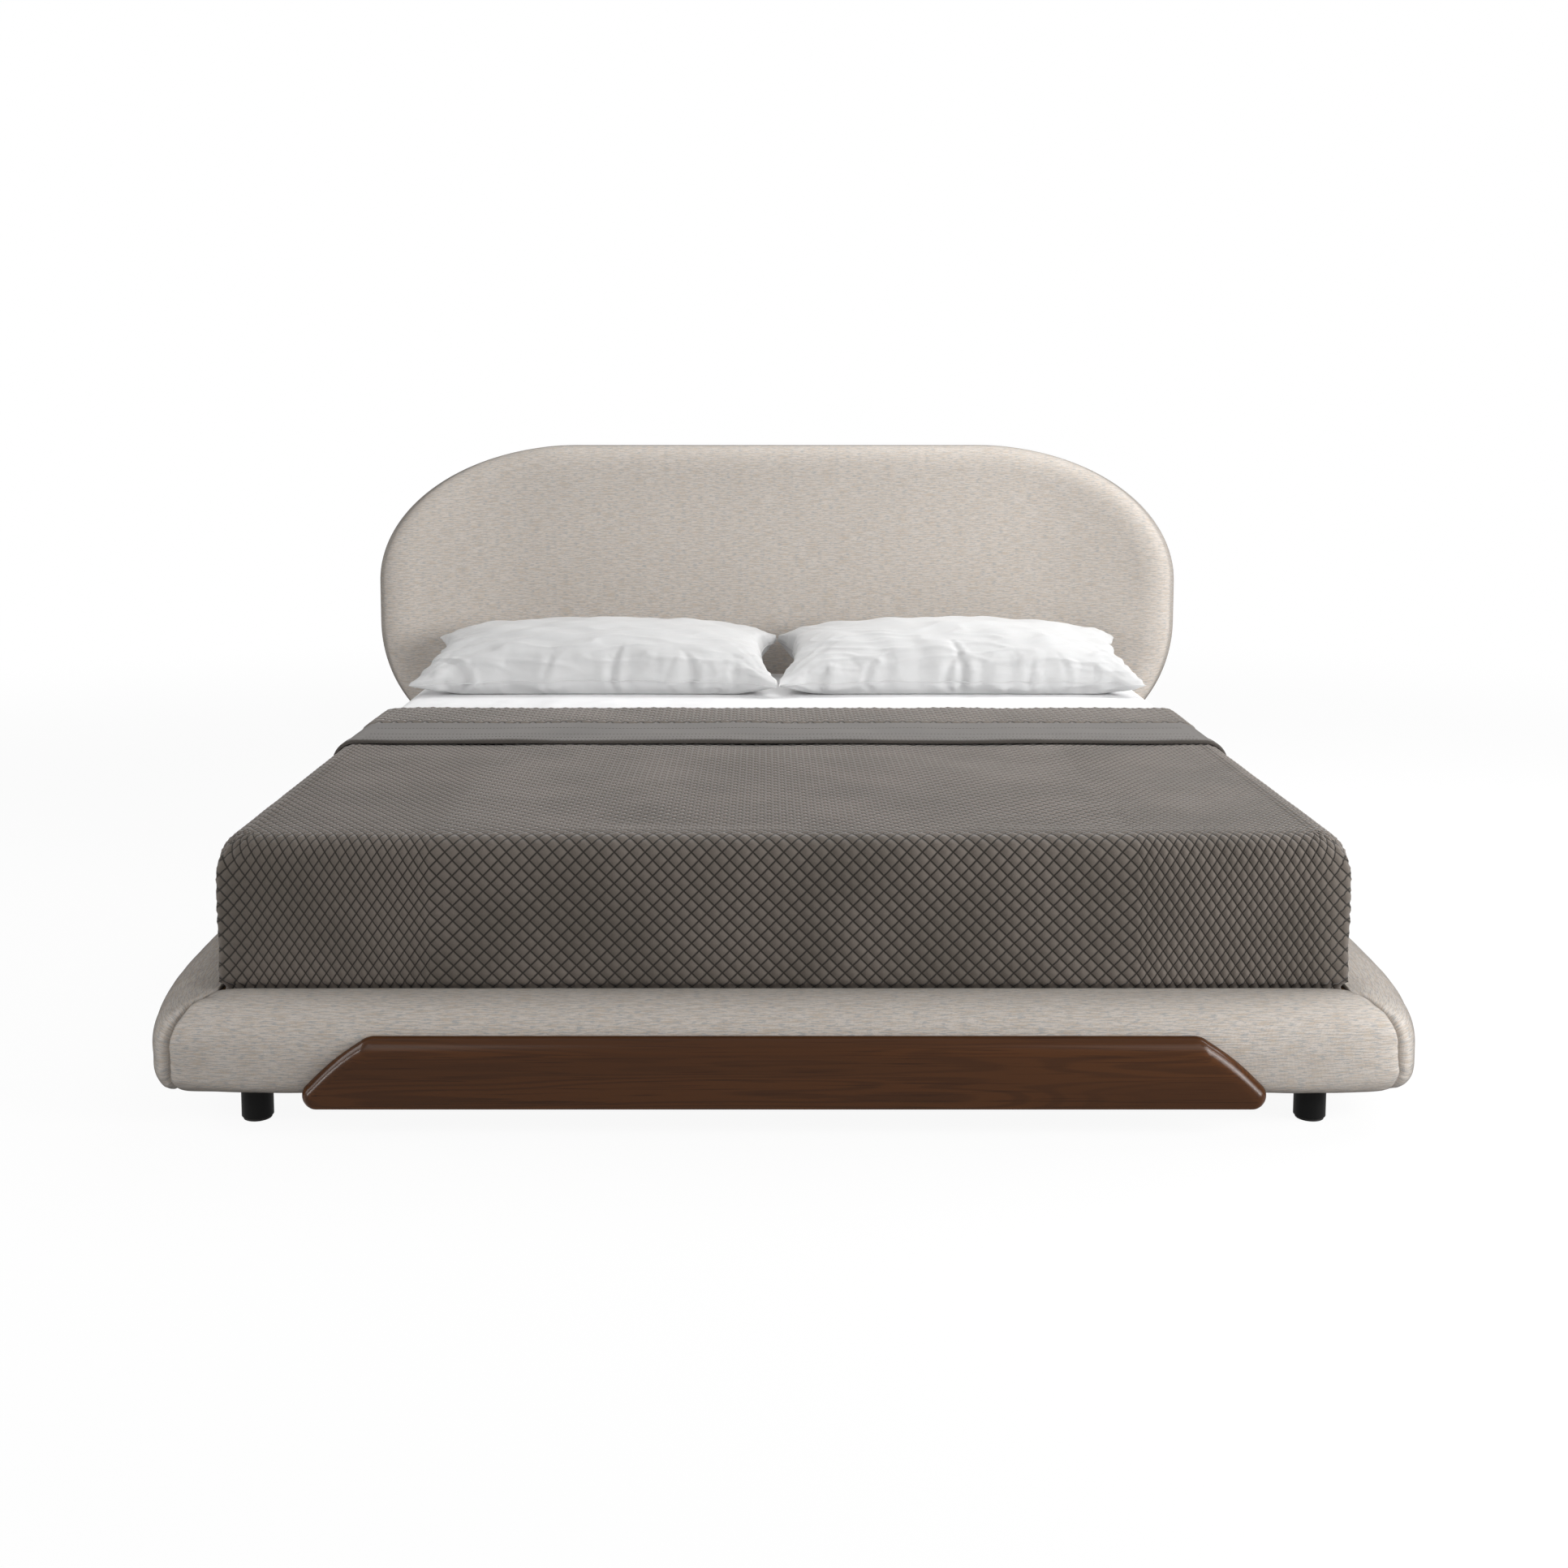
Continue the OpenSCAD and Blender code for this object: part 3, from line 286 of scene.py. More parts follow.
class Tree:
    """Places and links nodes in a material's or a geometry tree"""

    def __init__(self, tree):
        self.tree = tree

    def give(self, node, key, value):
        """Links a socket to a node's input, or sets the input to a value"""
        if isinstance(value, bpy.types.NodeSocket):
            self.tree.links.new(value, node.inputs[key])
        else:
            node.inputs[key].default_value = value

    def add(self, kind, inputs=None, **settings):
        node = self.tree.nodes.new(kind)
        for key, value in settings.items():
            setattr(node, key, value)
        for key, value in (inputs or {}).items():
            self.give(node, key, value)
        return node

    def maths(self, operation, a, b=0.0, c=0.0):
        kind = "ShaderNodeMath"
        return self.add(kind, {0: a, 1: b, 2: c}, operation=operation).outputs[0]

    def scaled(self, value, share, more):
        """Value times a share, plus some more"""
        return self.maths("MULTIPLY_ADD", value, share, more)

    def wave(self, value, step):
        return self.maths("SINE", self.maths("MULTIPLY", value, step))

    def noise(self, vector, scale, detail=2.0, roughness=0.5):
        inputs = {"Vector": vector, "Scale": scale, "Detail": detail, "Roughness": roughness}
        return self.add("ShaderNodeTexNoise", inputs).outputs[0]

    def ramp(self, value, low, high):
        """Value spread from low..high to 0..1, with soft ends"""
        inputs = {"Value": value, "From Min": low, "From Max": high}
        kind = "ShaderNodeMapRange"
        return self.add(kind, inputs, interpolation_type="SMOOTHSTEP").outputs["Result"]

    def blend(self, share, a, b, mode="MIX"):
        """Mix of two colours"""
        a, b = (c if isinstance(c, bpy.types.NodeSocket) else (*c, 1.0) for c in (a, b))
        inputs = {0: share, 6: a, 7: b}
        return self.add("ShaderNodeMix", inputs, data_type="RGBA", blend_type=mode).outputs[2]

    def fade(self, value, low, high, a, b):
        """Colour that goes from a to b while a value goes from low to high"""
        return self.blend(self.ramp(value, low, high), a, b)

    def shaded(self, base, share):
        """Colour made darker or lighter by a share"""
        grey = self.add("ShaderNodeCombineColor", {0: share, 1: share, 2: share}).outputs[0]
        return self.blend(1.0, base, grey, "MULTIPLY")

    def split(self, vector):
        return self.add("ShaderNodeSeparateXYZ", {0: vector}).outputs

    def diamonds(self, vector):
        """Two crossed waves of 0 to 1 whose zeros are the stitched lines of a quilt"""
        x, y, _ = self.split(vector)
        lines = []
        for sign in (1, -1):
            line = self.scaled(y, sign, x)
            lines.append(self.maths("ABSOLUTE", self.wave(line, math.pi)))
        return lines

    def direct(self):
        """Share that is 1 for rays from the camera, a reflection or a clear surface, and the
        share of the camera's rays alone"""
        path = self.add("ShaderNodeLightPath").outputs
        share = path["Is Camera Ray"]
        for kind in ("Is Glossy Ray", "Is Transmission Ray"):
            share = self.maths("MAXIMUM", share, path[kind])
        return share, path["Is Camera Ray"]


class Finish(Tree):
    """New material, with its shader and the coordinate that its pattern follows"""

    def __init__(self, name, coordinate):
        self.material = bpy.data.materials.new(f"{name}_finish")
        self.material.use_nodes = True
        super().__init__(self.material.node_tree)
        self.shader = self.tree.nodes["Principled BSDF"]
        if coordinate == "Object":
            self.place = self.add("ShaderNodeTexCoord").outputs["Object"]
        else:
            self.place = self.map(coordinate)

    def map(self, name):
        return self.add("ShaderNodeUVMap", uv_map=name).outputs[0]

    def streaks(self, scale, detail=2.0, roughness=0.5):
        """Noise whose scale differs along each axis"""
        drawn = self.add("ShaderNodeMapping", {"Vector": self.place, "Scale": scale}).outputs[0]
        return self.noise(drawn, 1.0, detail, roughness)

    def weave(self, thread):
        """Crossed threads, as a height from 0 to 1"""
        wander = self.noise(self.place, 60.0)
        sums = []
        for turn in (0, 1):
            across = self.split(self.place)[turn]
            shifted = self.scaled(wander, thread * 1.5, across)
            sums.append(self.scaled(self.wave(shifted, 2 * math.pi / thread), 0.5, 0.5))
        return self.maths("MAXIMUM", *sums)

    def surface(self, base, roughness, height, depth, strength, more=None):
        """Gives the shader its colour, roughness, bump and more sockets, and returns the
        material"""
        self.give(self.shader, "Base Color", base)
        self.give(self.shader, "Roughness", roughness)
        inputs = {"Height": height, "Distance": depth, "Strength": strength}
        self.give(self.shader, "Normal", self.add("ShaderNodeBump", inputs).outputs[0])
        for key, value in (more or {}).items():
            self.give(self.shader, key, value)
        return self.material


def dimmed(base_colour, share):
    """Colour times a share"""
    return [c * share for c in base_colour]


def oatmeal_fabric(name, coordinate="cloth"):
    """Heathered upholstery fabric with slubs along its first coordinate, and painted shade that
    darkens it where its surface turns away from the camera
    """
    looks = bpy.context.scene.bed_colours
    look = Finish(name, coordinate)
    if coordinate == "Object":
        x, y, z = look.split(look.place)
        across = look.maths("ADD", x, y)
        look.place = look.add("ShaderNodeCombineXYZ", {0: across, 1: z}).outputs[0]
    long_slub = look.streaks((24, 400, 1), 3.0, 0.6)
    short_slub = look.streaks((62, 520, 1), 2.0, 0.55)
    fleck = look.streaks((520, 900, 1), 1.0)
    patch = look.noise(look.place, 3.0)
    base = look.fade(long_slub, 0.46, 0.6, looks.oatmeal, looks.oatmeal_warm)
    base = look.fade(short_slub, 0.5, 0.62, base, looks.oatmeal_cool)
    light = look.scaled(fleck, 0.4, 0.8)
    light = look.scaled(look.maths("SUBTRACT", patch, 0.5), 0.08, light)
    base = look.shaded(base, light)
    # Painted rim shade: the colour darkens where the surface turns away from the camera, towards
    # the outlines of the pads
    facing = look.add("ShaderNodeLayerWeight", {"Blend": 0.5}).outputs["Facing"]
    rim = look.scaled(look.maths("POWER", facing, 2.2), -0.7, 1.0)
    base = look.shaded(base, rim)
    height = look.scaled(short_slub, 0.8, look.weave(OATMEAL_THREAD))
    return look.surface(base, 0.92, height, 0.0007, 0.7, {SPECULAR: 0.15})


def wood(name, base_colour, grain_colour, along, gloss, specular=0.4):
    """Wood with its grain along one axis of the object"""
    look = Finish(name, "Object")
    long, fine = [16.0] * 3, [330.0] * 3
    long[along], fine[along] = 0.9, 6.0
    warp = look.streaks(long)
    figure = look.scaled(look.wave(warp, 95.0), 0.5, 0.5)
    pores = look.streaks(fine, 2.0, 0.6)
    half = [(u + v) / 2 for u, v in zip(base_colour, grain_colour)]
    base = look.fade(figure, 0.35, 1.0, base_colour, half)
    base = look.fade(warp, 0.35, 0.7, base, half)
    base = look.fade(pores, 0.52, 0.75, base, grain_colour)
    rough = look.scaled(pores, 0.12, gloss)
    return look.surface(base, rough, pores, 0.0002, 0.25, {SPECULAR: specular})


def metal(name, base_colour, metallic, rough, grain, specular=0.5):
    """Coated or plated metal with a fine grain"""
    look = Finish(name, "Object")
    speck = look.noise(look.place, grain, 2.0, 0.6)
    cloud = look.noise(look.place, 12.0)
    base = look.fade(cloud, 0.35, 0.7, base_colour, dimmed(base_colour, 0.8))
    rough = look.scaled(speck, 0.16, rough)
    return look.surface(base, rough, speck, 0.0002, 0.25,
                        {"Metallic": metallic, SPECULAR: specular})


def cotton(name, base_colour, coordinate="cloth"):
    """Plain woven cotton with a faint unevenness"""
    look = Finish(name, coordinate)
    cloud = look.noise(look.place, 7.0, 3.0)
    base = look.fade(cloud, 0.3, 0.75, base_colour, dimmed(base_colour, 0.93))
    crease = look.noise(look.place, 38.0, 4.0, 0.6)
    height = look.scaled(crease, 1.6, look.weave(COTTON_THREAD))
    return look.surface(base, 0.85, height, 0.0006, 0.3,
                        {SHEEN: 0.15, "Subsurface Weight": 0.05,
                         "Subsurface Radius": (0.004, 0.003, 0.003)})


def quilted_cotton(name):
    """Quilted cotton, with painted shade along its stitched lines"""
    looks = bpy.context.scene.bed_colours
    look = Finish(name, "quilt")
    lines = look.diamonds(look.place)
    groove = look.maths("MINIMUM", *lines)
    look.place = look.map("cloth")
    slub = look.streaks((900, 300, 1))
    patch = look.noise(look.place, 5.0, 3.0)
    base = look.fade(patch, 0.3, 0.7, looks.quilt, looks.quilt_light)
    # Painted shade: the colour darkens to about a fifth along the stitched grooves
    base = look.fade(groove, 0.06, 0.4, dimmed(looks.quilt, 0.22), base)
    base = look.shaded(base, look.scaled(slub, 0.3, 0.85))
    puff = look.maths("POWER", look.maths("MULTIPLY", *lines), 0.5)
    height = look.scaled(slub, 0.12, puff)
    return look.surface(base, 0.88, height, 0.003, 0.8,
                        {SHEEN: 0.3, "Sheen Roughness": 0.4, SPECULAR: 0.2})


def plain_band(name):
    """Finely patterned cotton of the turned-down band"""
    looks = bpy.context.scene.bed_colours
    look = Finish(name, "cloth")
    fine = look.streaks((420, 420, 1))
    patch = look.noise(look.place, 6.0, 3.0)
    x, y, _ = look.split(look.place)
    step = 2 * math.pi / BAND_DOT
    dots = look.maths("MULTIPLY", look.wave(x, step), look.wave(y, step))
    base = look.fade(patch, 0.3, 0.7, looks.quilt, looks.quilt_light)
    light = look.scaled(dots, 0.05, look.scaled(fine, 0.12, 0.34))
    base = look.shaded(base, light)
    return look.surface(base, 0.9, look.scaled(dots, 0.4, fine), 0.0006, 0.4, {SHEEN: 0.15})


def ticking(name):
    """Striped woven mattress cover"""
    looks = bpy.context.scene.bed_colours
    look = Finish(name, "Object")
    x, y, _ = look.split(look.place)
    stripe = look.wave(look.maths("ADD", x, y), 2 * math.pi / TICKING_STEP)
    base = look.fade(stripe, 0.72, 0.86, looks.ticking, looks.ticking_stripe)
    fine = look.noise(look.place, 700.0)
    return look.surface(base, 0.88, fine, 0.0004, 0.4)


def once(make, name, *args):
    """The material that a function makes, made only the first time"""
    return bpy.data.materials.get(f"{name}_finish") or make(name, *args)


def placed(name, data):
    """Object of the given data, in the scene"""
    piece = bpy.data.objects.new(name, data)
    bpy.context.scene.collection.objects.link(piece)
    return piece


class Shell:
    """Points, faces and cloth coordinates of one piece, gathered from grids and caps"""

    def __init__(self):
        self.points, self.cloth, self.faces = [], [], []
        self.count = 0

    def take(self, points, cloth):
        self.points.append(points)
        self.cloth.append(cloth)
        self.count += len(points)

    def grid(self, points, cloth):
        """Quads over a grid of points, with the cloth coordinate of each"""
        rows, columns = points.shape[:2]
        at = self.count + np.arange(rows * columns).reshape(rows, columns)
        corners = (at[:-1, :-1], at[:-1, 1:], at[1:, 1:], at[1:, :-1])
        self.faces.extend(np.stack(corners, -1).reshape(-1, 4).tolist())
        self.take(points.reshape(-1, 3), cloth.reshape(-1, 2))

    def cap(self, ring, cloth):
        """One face over a closed ring of points"""
        self.faces.append(list(range(self.count, self.count + len(ring))))
        self.take(ring, cloth)

    def ends(self, rings, cloth):
        """Caps over the first and the last ring of a grid"""
        for end in (0, -1):
            self.cap(rings[end], cloth[end])

    def build(self, name, *maps):
        """Mesh object of the shell, its doubles merged and its faces outward. Further maps are
        named functions of the cloth coordinate."""
        mesh = bpy.data.meshes.new(name)
        mesh.from_pydata(np.concatenate(self.points).tolist(), [], self.faces)
        at = np.zeros(len(mesh.loops), int)
        mesh.loops.foreach_get("vertex_index", at)
        cloth = np.concatenate(self.cloth)[at]
        for key, rule in (("cloth", lambda c: c), *maps):
            mesh.uv_layers.new(name=key).data.foreach_set("uv", rule(cloth).ravel())
        clean(mesh)
        return placed(name, mesh)


def clean(mesh):
    """Merges doubles, turns faces outward and shades smooth"""
    work = bmesh.new()
    work.from_mesh(mesh)
    bmesh.ops.remove_doubles(work, verts=work.verts, dist=MERGE)
    bmesh.ops.dissolve_degenerate(work, edges=work.edges, dist=NO_LENGTH)
    bmesh.ops.recalc_face_normals(work, faces=work.faces)
    if work.calc_volume(signed=True) < 0:
        bmesh.ops.reverse_faces(work, faces=work.faces)
    for face in work.faces:
        face.smooth = True
    work.to_mesh(mesh)
    work.free()


def vectors(mesh, key="co"):
    """Places of a mesh's points, or their normals"""
    values = np.empty(len(mesh.vertices) * 3)
    mesh.vertices.foreach_get(key, values)
    return values.reshape(-1, 3)


def move_points(mesh, points):
    """Puts a mesh's points at new places"""
    mesh.vertices.foreach_set("co", points.ravel())


def apply_modifiers(piece):
    """Turns what a piece's modifiers make into its plain mesh"""
    graph = bpy.context.evaluated_depsgraph_get()
    result = bpy.data.meshes.new_from_object(piece.evaluated_get(graph), depsgraph=graph,
                                             preserve_all_data_layers=True)
    piece.modifiers.clear()
    old, piece.data = piece.data, result
    bpy.data.meshes.remove(old)


def paint(piece, material):
    """Gives a piece one material"""
    piece.data.materials.clear()
    piece.data.materials.append(material)


def dress(piece, material, body, replaces=()):
    """Gives a piece its finish, its body and the CAD nodes that it stands for"""
    paint(piece, material)
    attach(piece, body)
    if replaces:
        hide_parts(*replaces)


def pairs(first, second):
    """Grid of value pairs from two arrays that broadcast"""
    return np.stack(np.broadcast_arrays(first, second), -1)


def unit(points):
    """Vectors brought to a length of 1"""
    return points / np.maximum(np.linalg.norm(points, axis=-1, keepdims=True), 1e-12)


def steps_along(points):
    """Distance along a row of points"""
    moves = np.linalg.norm(np.diff(points, axis=0), axis=-1)
    return np.concatenate([[0], np.cumsum(moves)])


def normals(points):
    """Outward unit normals of a grid that goes round a core"""
    normal = unit(np.cross(np.gradient(points, axis=0), np.gradient(points, axis=1)))
    outward = points - points.mean(axis=1, keepdims=True)
    return normal if (normal * outward).sum() > 0 else -normal


def unevenness(u, v, size, seed, count=10):
    """Soft unevenness of about -1 to 1, made of waves in fixed directions"""
    chance = np.random.default_rng(seed)
    total = np.zeros(np.broadcast(u, v).shape)
    for _ in range(count):
        turn, phase = chance.uniform(0, 2 * math.pi, 2)
        wave = size * chance.uniform(0.6, 1.7)
        total += np.sin(2 * math.pi * (u * math.cos(turn) + v * math.sin(turn)) / wave + phase)
    return total / math.sqrt(2 * count)


def smooth(value):
    """Soft step from 0 to 1"""
    value = np.clip(value, 0, 1)
    return value * value * (3 - 2 * value)


def even(low, high, step):
    """Evenly spaced values from low to high, about a step apart"""
    return np.linspace(low, high, max(2, int(round((high - low) / step)) + 1))


# Rails

def rail_section():
    """Evenly spaced half section of a rail, as shares of its depth and height and as a distance,
    from the top inner edge round to the bottom one"""
    angle = np.linspace(0, math.pi, 3000)
    power = 2 / np.where(angle <= math.pi / 2, RAIL_ROUND_TOP, RAIL_ROUND_BOTTOM)
    across = np.abs(np.sin(angle)) ** power
    up = np.sign(np.cos(angle)) * np.abs(np.cos(angle)) ** power
    sizes = np.stack([across * FOOT_DEPTH, up * (RAIL_TOP - RAIL_BOTTOM) / 2], -1)
    around = steps_along(sizes)
    at = np.linspace(0, around[-1], RAIL_STEPS)
    return np.interp(at, around, across), np.interp(at, around, up), at


def seam_points(into_side):
    """Corner seam seen from above, its inner and outer end, just inside the foot or the side
    rail"""
    along = np.array([SEAM_OUT, -SEAM_FRONT])
    along /= np.linalg.norm(along)
    gap = SEAM_START_GAP
    if into_side:
        start = np.array([INNER, OPEN_Y + gap / along[0]])
    else:
        start = np.array([INNER + gap / along[1], OPEN_Y])
    return start, start + along * (math.hypot(SEAM_OUT, SEAM_FRONT) - 1.5 * gap)


def foot_path():
    """Foot rail from its left to its right seam, as inner points, outer points and dips"""
    seam_in, seam_out = seam_points(False)
    start = INNER - FOOT_CORNER_L
    flat = np.linspace(0, start, 120, endpoint=False)
    turn = np.linspace(0, math.pi / 2, 34)
    rise = 1 - np.cos(turn)
    front = OPEN_Y - FOOT_DEPTH
    inner_x = np.r_[flat, start + (seam_in[0] - start) * np.sin(turn)]
    outer_x = np.r_[flat, start + (seam_out[0] - start) * np.sin(turn)]
    outer_y = np.r_[np.full(flat.shape, front), front + (seam_out[1] - front) * rise]
    inner = pairs(inner_x, OPEN_Y)
    outer = pairs(outer_x, outer_y)
    dip = np.r_[np.zeros(flat.shape), SEAM_DIP * rise]
    return (np.concatenate([inner[:0:-1] * MIRROR, inner]),
            np.concatenate([outer[:0:-1] * MIRROR, outer]), np.concatenate([dip[:0:-1], dip]))


def side_path():
    """Right side rail from its seam to the head end, as inner points, outer points and dips"""
    seam_in, seam_out = seam_points(True)
    end = BACK_Y - SEAM_START_GAP
    bend_y = end - SIDE_END_L
    turn = np.linspace(0, math.pi / 2, 90)
    rise = 1 - np.cos(turn)
    y = seam_out[1] + SIDE_TAPER_L * rise
    share = (y - seam_out[1]) / (bend_y - seam_out[1])
    taper_in = pairs(INNER, seam_in[1] + (bend_y - seam_in[1]) * share)
    taper_out = pairs(seam_out[0] + (SIDE_OUT - seam_out[0]) * np.sin(turn), y)
    middle = np.linspace(0, 1, 150)[1:-1, None]
    middle_in = taper_in[-1] + (np.array([INNER, bend_y]) - taper_in[-1]) * middle
    middle_out = taper_out[-1] + (np.array([SIDE_OUT, bend_y]) - taper_out[-1]) * middle
    close = np.linspace(0, math.pi / 2, 30)
    end_y = bend_y + SIDE_END_L * np.sin(close)
    end_in = pairs(INNER, end_y)
    end_out = pairs(SIDE_OUT - SIDE_END_IN * (1 - np.cos(close)), end_y)
    dip = np.r_[SEAM_DIP * np.maximum(0, 1 - 3 * rise), np.zeros(len(middle) + len(close))]
    return (np.concatenate([taper_in, middle_in, end_in]),
            np.concatenate([taper_out, middle_out, end_out]), dip)


def rail_waves(around, along, seam, seed):
    """How far a rail's fabric stands out: short and long gathers that fade away from its seams,
    and a soft swell"""
    short = unevenness(around, along * 0.15, 0.012, seed, 16) * 0.0016 * np.exp(-seam / 0.016)
    long = unevenness(around, along * 0.2, 0.05, seed + 3) * 0.0022 * np.exp(-seam / 0.07)
    gather = (short + long) * (1 - np.exp(-seam / 0.004))
    swell = unevenness(along, around, 0.34, seed + 1) * 0.0011
    return gather + (swell + unevenness(along, around * 0.6, 0.09, seed + 2) * 0.0004)


def round_frame(inner, outer):
    """Inner side of a rail's pad, round the board and the shelf of its timber frame"""
    depth = np.linalg.norm(outer - inner, axis=-1)
    none = 0 * depth
    shelf = np.minimum(SHELF_D + FRAME_GAP, SHELF_SHARE * depth)
    board = np.full(depth.shape, BOARD_T + FRAME_GAP)
    low, top = FOOT_BOARD_LOW.z - FRAME_GAP, FOOT_BOARD_HIGH.z + FRAME_GAP
    shelf_top = FOOT_BOARD_LOW.z + SHELF_T + FRAME_GAP
    corners = ((none, low), (shelf, low), (shelf, shelf_top), (board, shelf_top), (board, top),
               (none, top))
    points = np.empty((len(inner), len(corners), 3))
    for k, (far, z) in enumerate(corners):
        points[:, k, :2] = inner + unit(outer - inner) * far[:, None]
        points[:, k, 2] = z
    return points


def rail_pad(name, path, from_seam, seed):
    """Padded rail round its timber frame, pinched and creased towards its seams"""
    sizes = bpy.context.scene.bed_sizes
    inner, outer, dip = path
    across, up, around = rail_section()
    points = np.empty((len(inner), len(across), 3))
    points[..., :2] = inner[:, None] + across[None, :, None] * (outer - inner)[:, None]
    high = (RAIL_TOP - RAIL_MID - dip)[:, None]
    points[..., 2] = RAIL_MID + np.where(up >= 0, high, RAIL_MID - RAIL_BOTTOM) * up
    along = steps_along(outer)[:, None]
    seam = from_seam(along)
    held = smooth(across / 0.3)[None]
    normal = normals(points)
    core = unit(points.mean(axis=1, keepdims=True) - points)
    pinch = sizes.seam_depth * np.exp(-seam / sizes.seam_width)
    waves = rail_waves(around[None], along, seam, seed)
    points += core * (pinch * held)[..., None] + normal * (waves * held)[..., None]
    rings = np.concatenate([points, round_frame(inner, outer), points[:, :1]], axis=1)
    hidden = around[-1] + np.arange(1, 8) * 0.03
    shell = Shell()
    shell.grid(rings, pairs(along, np.r_[around, hidden][None]))
    shell.ends(rings[:, :-1], rings[:, :-1, 1:])
    return shell.build(name)


def mirror(piece):
    """Turns a right-hand piece into a left-hand one"""
    move_points(piece.data, vectors(piece.data) * [-1, 1, 1])
    piece.data.flip_normals()


def head_rail_skin():
    """Fabric round the outside of the head rail, as a U-shaped strip"""
    y0, y1 = HEAD_COVER_LOW.y, HEAD_COVER_HIGH.y
    half = HEAD_COVER_HIGH.x

    def line(inset):
        r = HEAD_RAIL_R - inset
        turn = np.linspace(0, math.pi / 2, 9)
        low = np.stack([y1 - HEAD_RAIL_R + r * np.sin(turn),
                        RAIL_BOTTOM + HEAD_RAIL_R - r * np.cos(turn)], -1)
        high = np.stack([y1 - HEAD_RAIL_R + r * np.cos(turn),
                         RAIL_TOP - HEAD_RAIL_R + r * np.sin(turn)], -1)
        return np.concatenate([[[y0, RAIL_BOTTOM + inset]], low, high, [[y0, RAIL_TOP - inset]]])

    outer, inner = line(0), line(COVER_T)
    ring = np.concatenate([outer, inner[::-1], outer[:1]])
    along = np.linspace(-half, half, 160)
    points = np.empty((len(along), len(ring), 3))
    points[..., 0] = along[:, None]
    points[..., 1:] = ring[None]
    shell = Shell()
    shell.grid(points, pairs(along[:, None], steps_along(ring)[None]))
    shell.ends(points[:, :-1], points[:, :-1, 1:])
    return shell.build("head_rail_fabric")


class BED_OT_rails(bpy.types.Operator):
    """Makes the padded foot and side rails and the head rail's fabric"""
    bl_idname = "bed.rails"
    bl_label = "Rails"

    def execute(self, context):
        fabric = once(oatmeal_fabric, "oatmeal")
        foot = rail_pad("foot_rail_pad", foot_path(), lambda s: np.minimum(s, s.max() - s), 11)
        dress(foot, fabric, "frame", ("foot_rail_cover", "foot_rail_foam"))
        for side, seed in (("right", 21), ("left", 31)):
            pad = rail_pad(f"side_rail_pad_{side}", side_path(), lambda s: s, seed)
            if side == "left":
                mirror(pad)
            nodes = (f"side_rail_cover_{side}", f"side_rail_foam_{side}")
            dress(pad, fabric, "frame", nodes)
        dress(head_rail_skin(), fabric, "frame", ("head_rail_cover",))
        return {"FINISHED"}


# Headboard

def board_outline(inset, at=None):
    """Flat outline of the headboard inset by a distance, as points at the given shares of a
    corner"""
    points = []
    for corner in range(4):
        upper = corner in (1, 2)
        rx, rz = CORNER_TOP if upper else CORNER_LOW
        side = 1 if corner < 2 else -1
        turn = np.radians(90 * corner - 90 + np.linspace(0, 90, CORNER_STEPS + 1))
        across, rise = np.cos(turn), np.sin(turn)
        pull = np.hypot(across / rx, rise / rz)
        x = side * (BOARD_HALF - rx) + rx * across - inset * across / rx / pull
        centre_z = BOARD_HIGH.z - rz if upper else BOARD_LOW.z + rz
        points.append(np.stack([x, centre_z + rz * rise - inset * rise / rz / pull], -1))
    points = np.concatenate(points + [points[0][:1]])
    if at is None:
        return points
    index = np.arange(len(points))
    return np.stack([np.interp(at, index, points[:, k]) for k in (0, 1)], -1)


def bend(flat, depth):
    """Point of the headboard's flat state at a depth from its front, carried to its curved
    state"""
    u, z = flat[..., 0], flat[..., 1]
    over = np.maximum(0, np.abs(u) - WING_U) / WING_R
    radius = WING_R + depth
    x = np.sign(u) * (np.minimum(np.abs(u), WING_U) + radius * np.sin(over))
    return np.stack([x, CURVE_Y + radius * np.cos(over), z], -1)


def board_edge():
    """Section of the headboard's edge from its face round to the foam's back, as depths and
    insets"""
    back = BOARD_T_ALL
    rim = EDGE_BACK + COVER_RETURN
    small = EDGE_BACK - COVER_T
    profile = []
    for turn in np.linspace(math.pi / 2, 0, 14):
        profile.append((EDGE_FRONT * (1 - math.sin(turn)), EDGE_SOFT * (1 - math.cos(turn))))
    for turn in np.linspace(math.pi / 2, 0, 9):
        profile.append((back - EDGE_BACK * (1 - math.cos(turn)), EDGE_BACK * (1 - math.sin(turn))))
    profile += [(back, rim), (back - COVER_T, rim)]
    for turn in np.linspace(0, math.pi / 2, 5):
        profile.append((back - COVER_T - small * (1 - math.cos(turn)),
                        COVER_T + small * (1 - math.sin(turn))))
    return profile + [(FOAM_D, COVER_T)]


def headboard_pad():
    """Headboard's foam and front cover as one closed pad, with a soft crown"""
    sizes = bpy.context.scene.bed_sizes
    dense = board_outline(0)
    run = steps_along(dense)
    at = np.interp(np.linspace(0, 1, 620), run / run[-1], np.arange(len(dense)))
    mid = np.array([0, (BOARD_LOW.z + BOARD_HIGH.z) / 2])
    edge = board_outline(EDGE_SOFT, at)
    out = unit(board_outline(0, at) - edge)
    rings, cloth = [], []
    for share in np.linspace(0, 1, 64)[:-1]:
        flat = mid + (edge - mid) * share
        bumps = 0.0008 * unevenness(flat[:, 0], flat[:, 1], 0.3, 5)
        rings.append(bend(flat, -sizes.crown * smooth(1 - share) - bumps))
        cloth.append(flat)
    profile = board_edge()
    for (depth, inset), past in zip(profile, steps_along(np.array(profile))):
        rings.append(bend(board_outline(inset, at), depth))
        cloth.append(edge + out * past)
    back = board_outline(COVER_T, at)
    for share in np.linspace(1, 0, 16)[1:]:
        flat = mid + (back - mid) * share
        rings.append(bend(flat, FOAM_D))
        cloth.append(flat)
    shell = Shell()
    shell.grid(np.stack(rings), np.stack(cloth))
    return shell.build("headboard_pad")


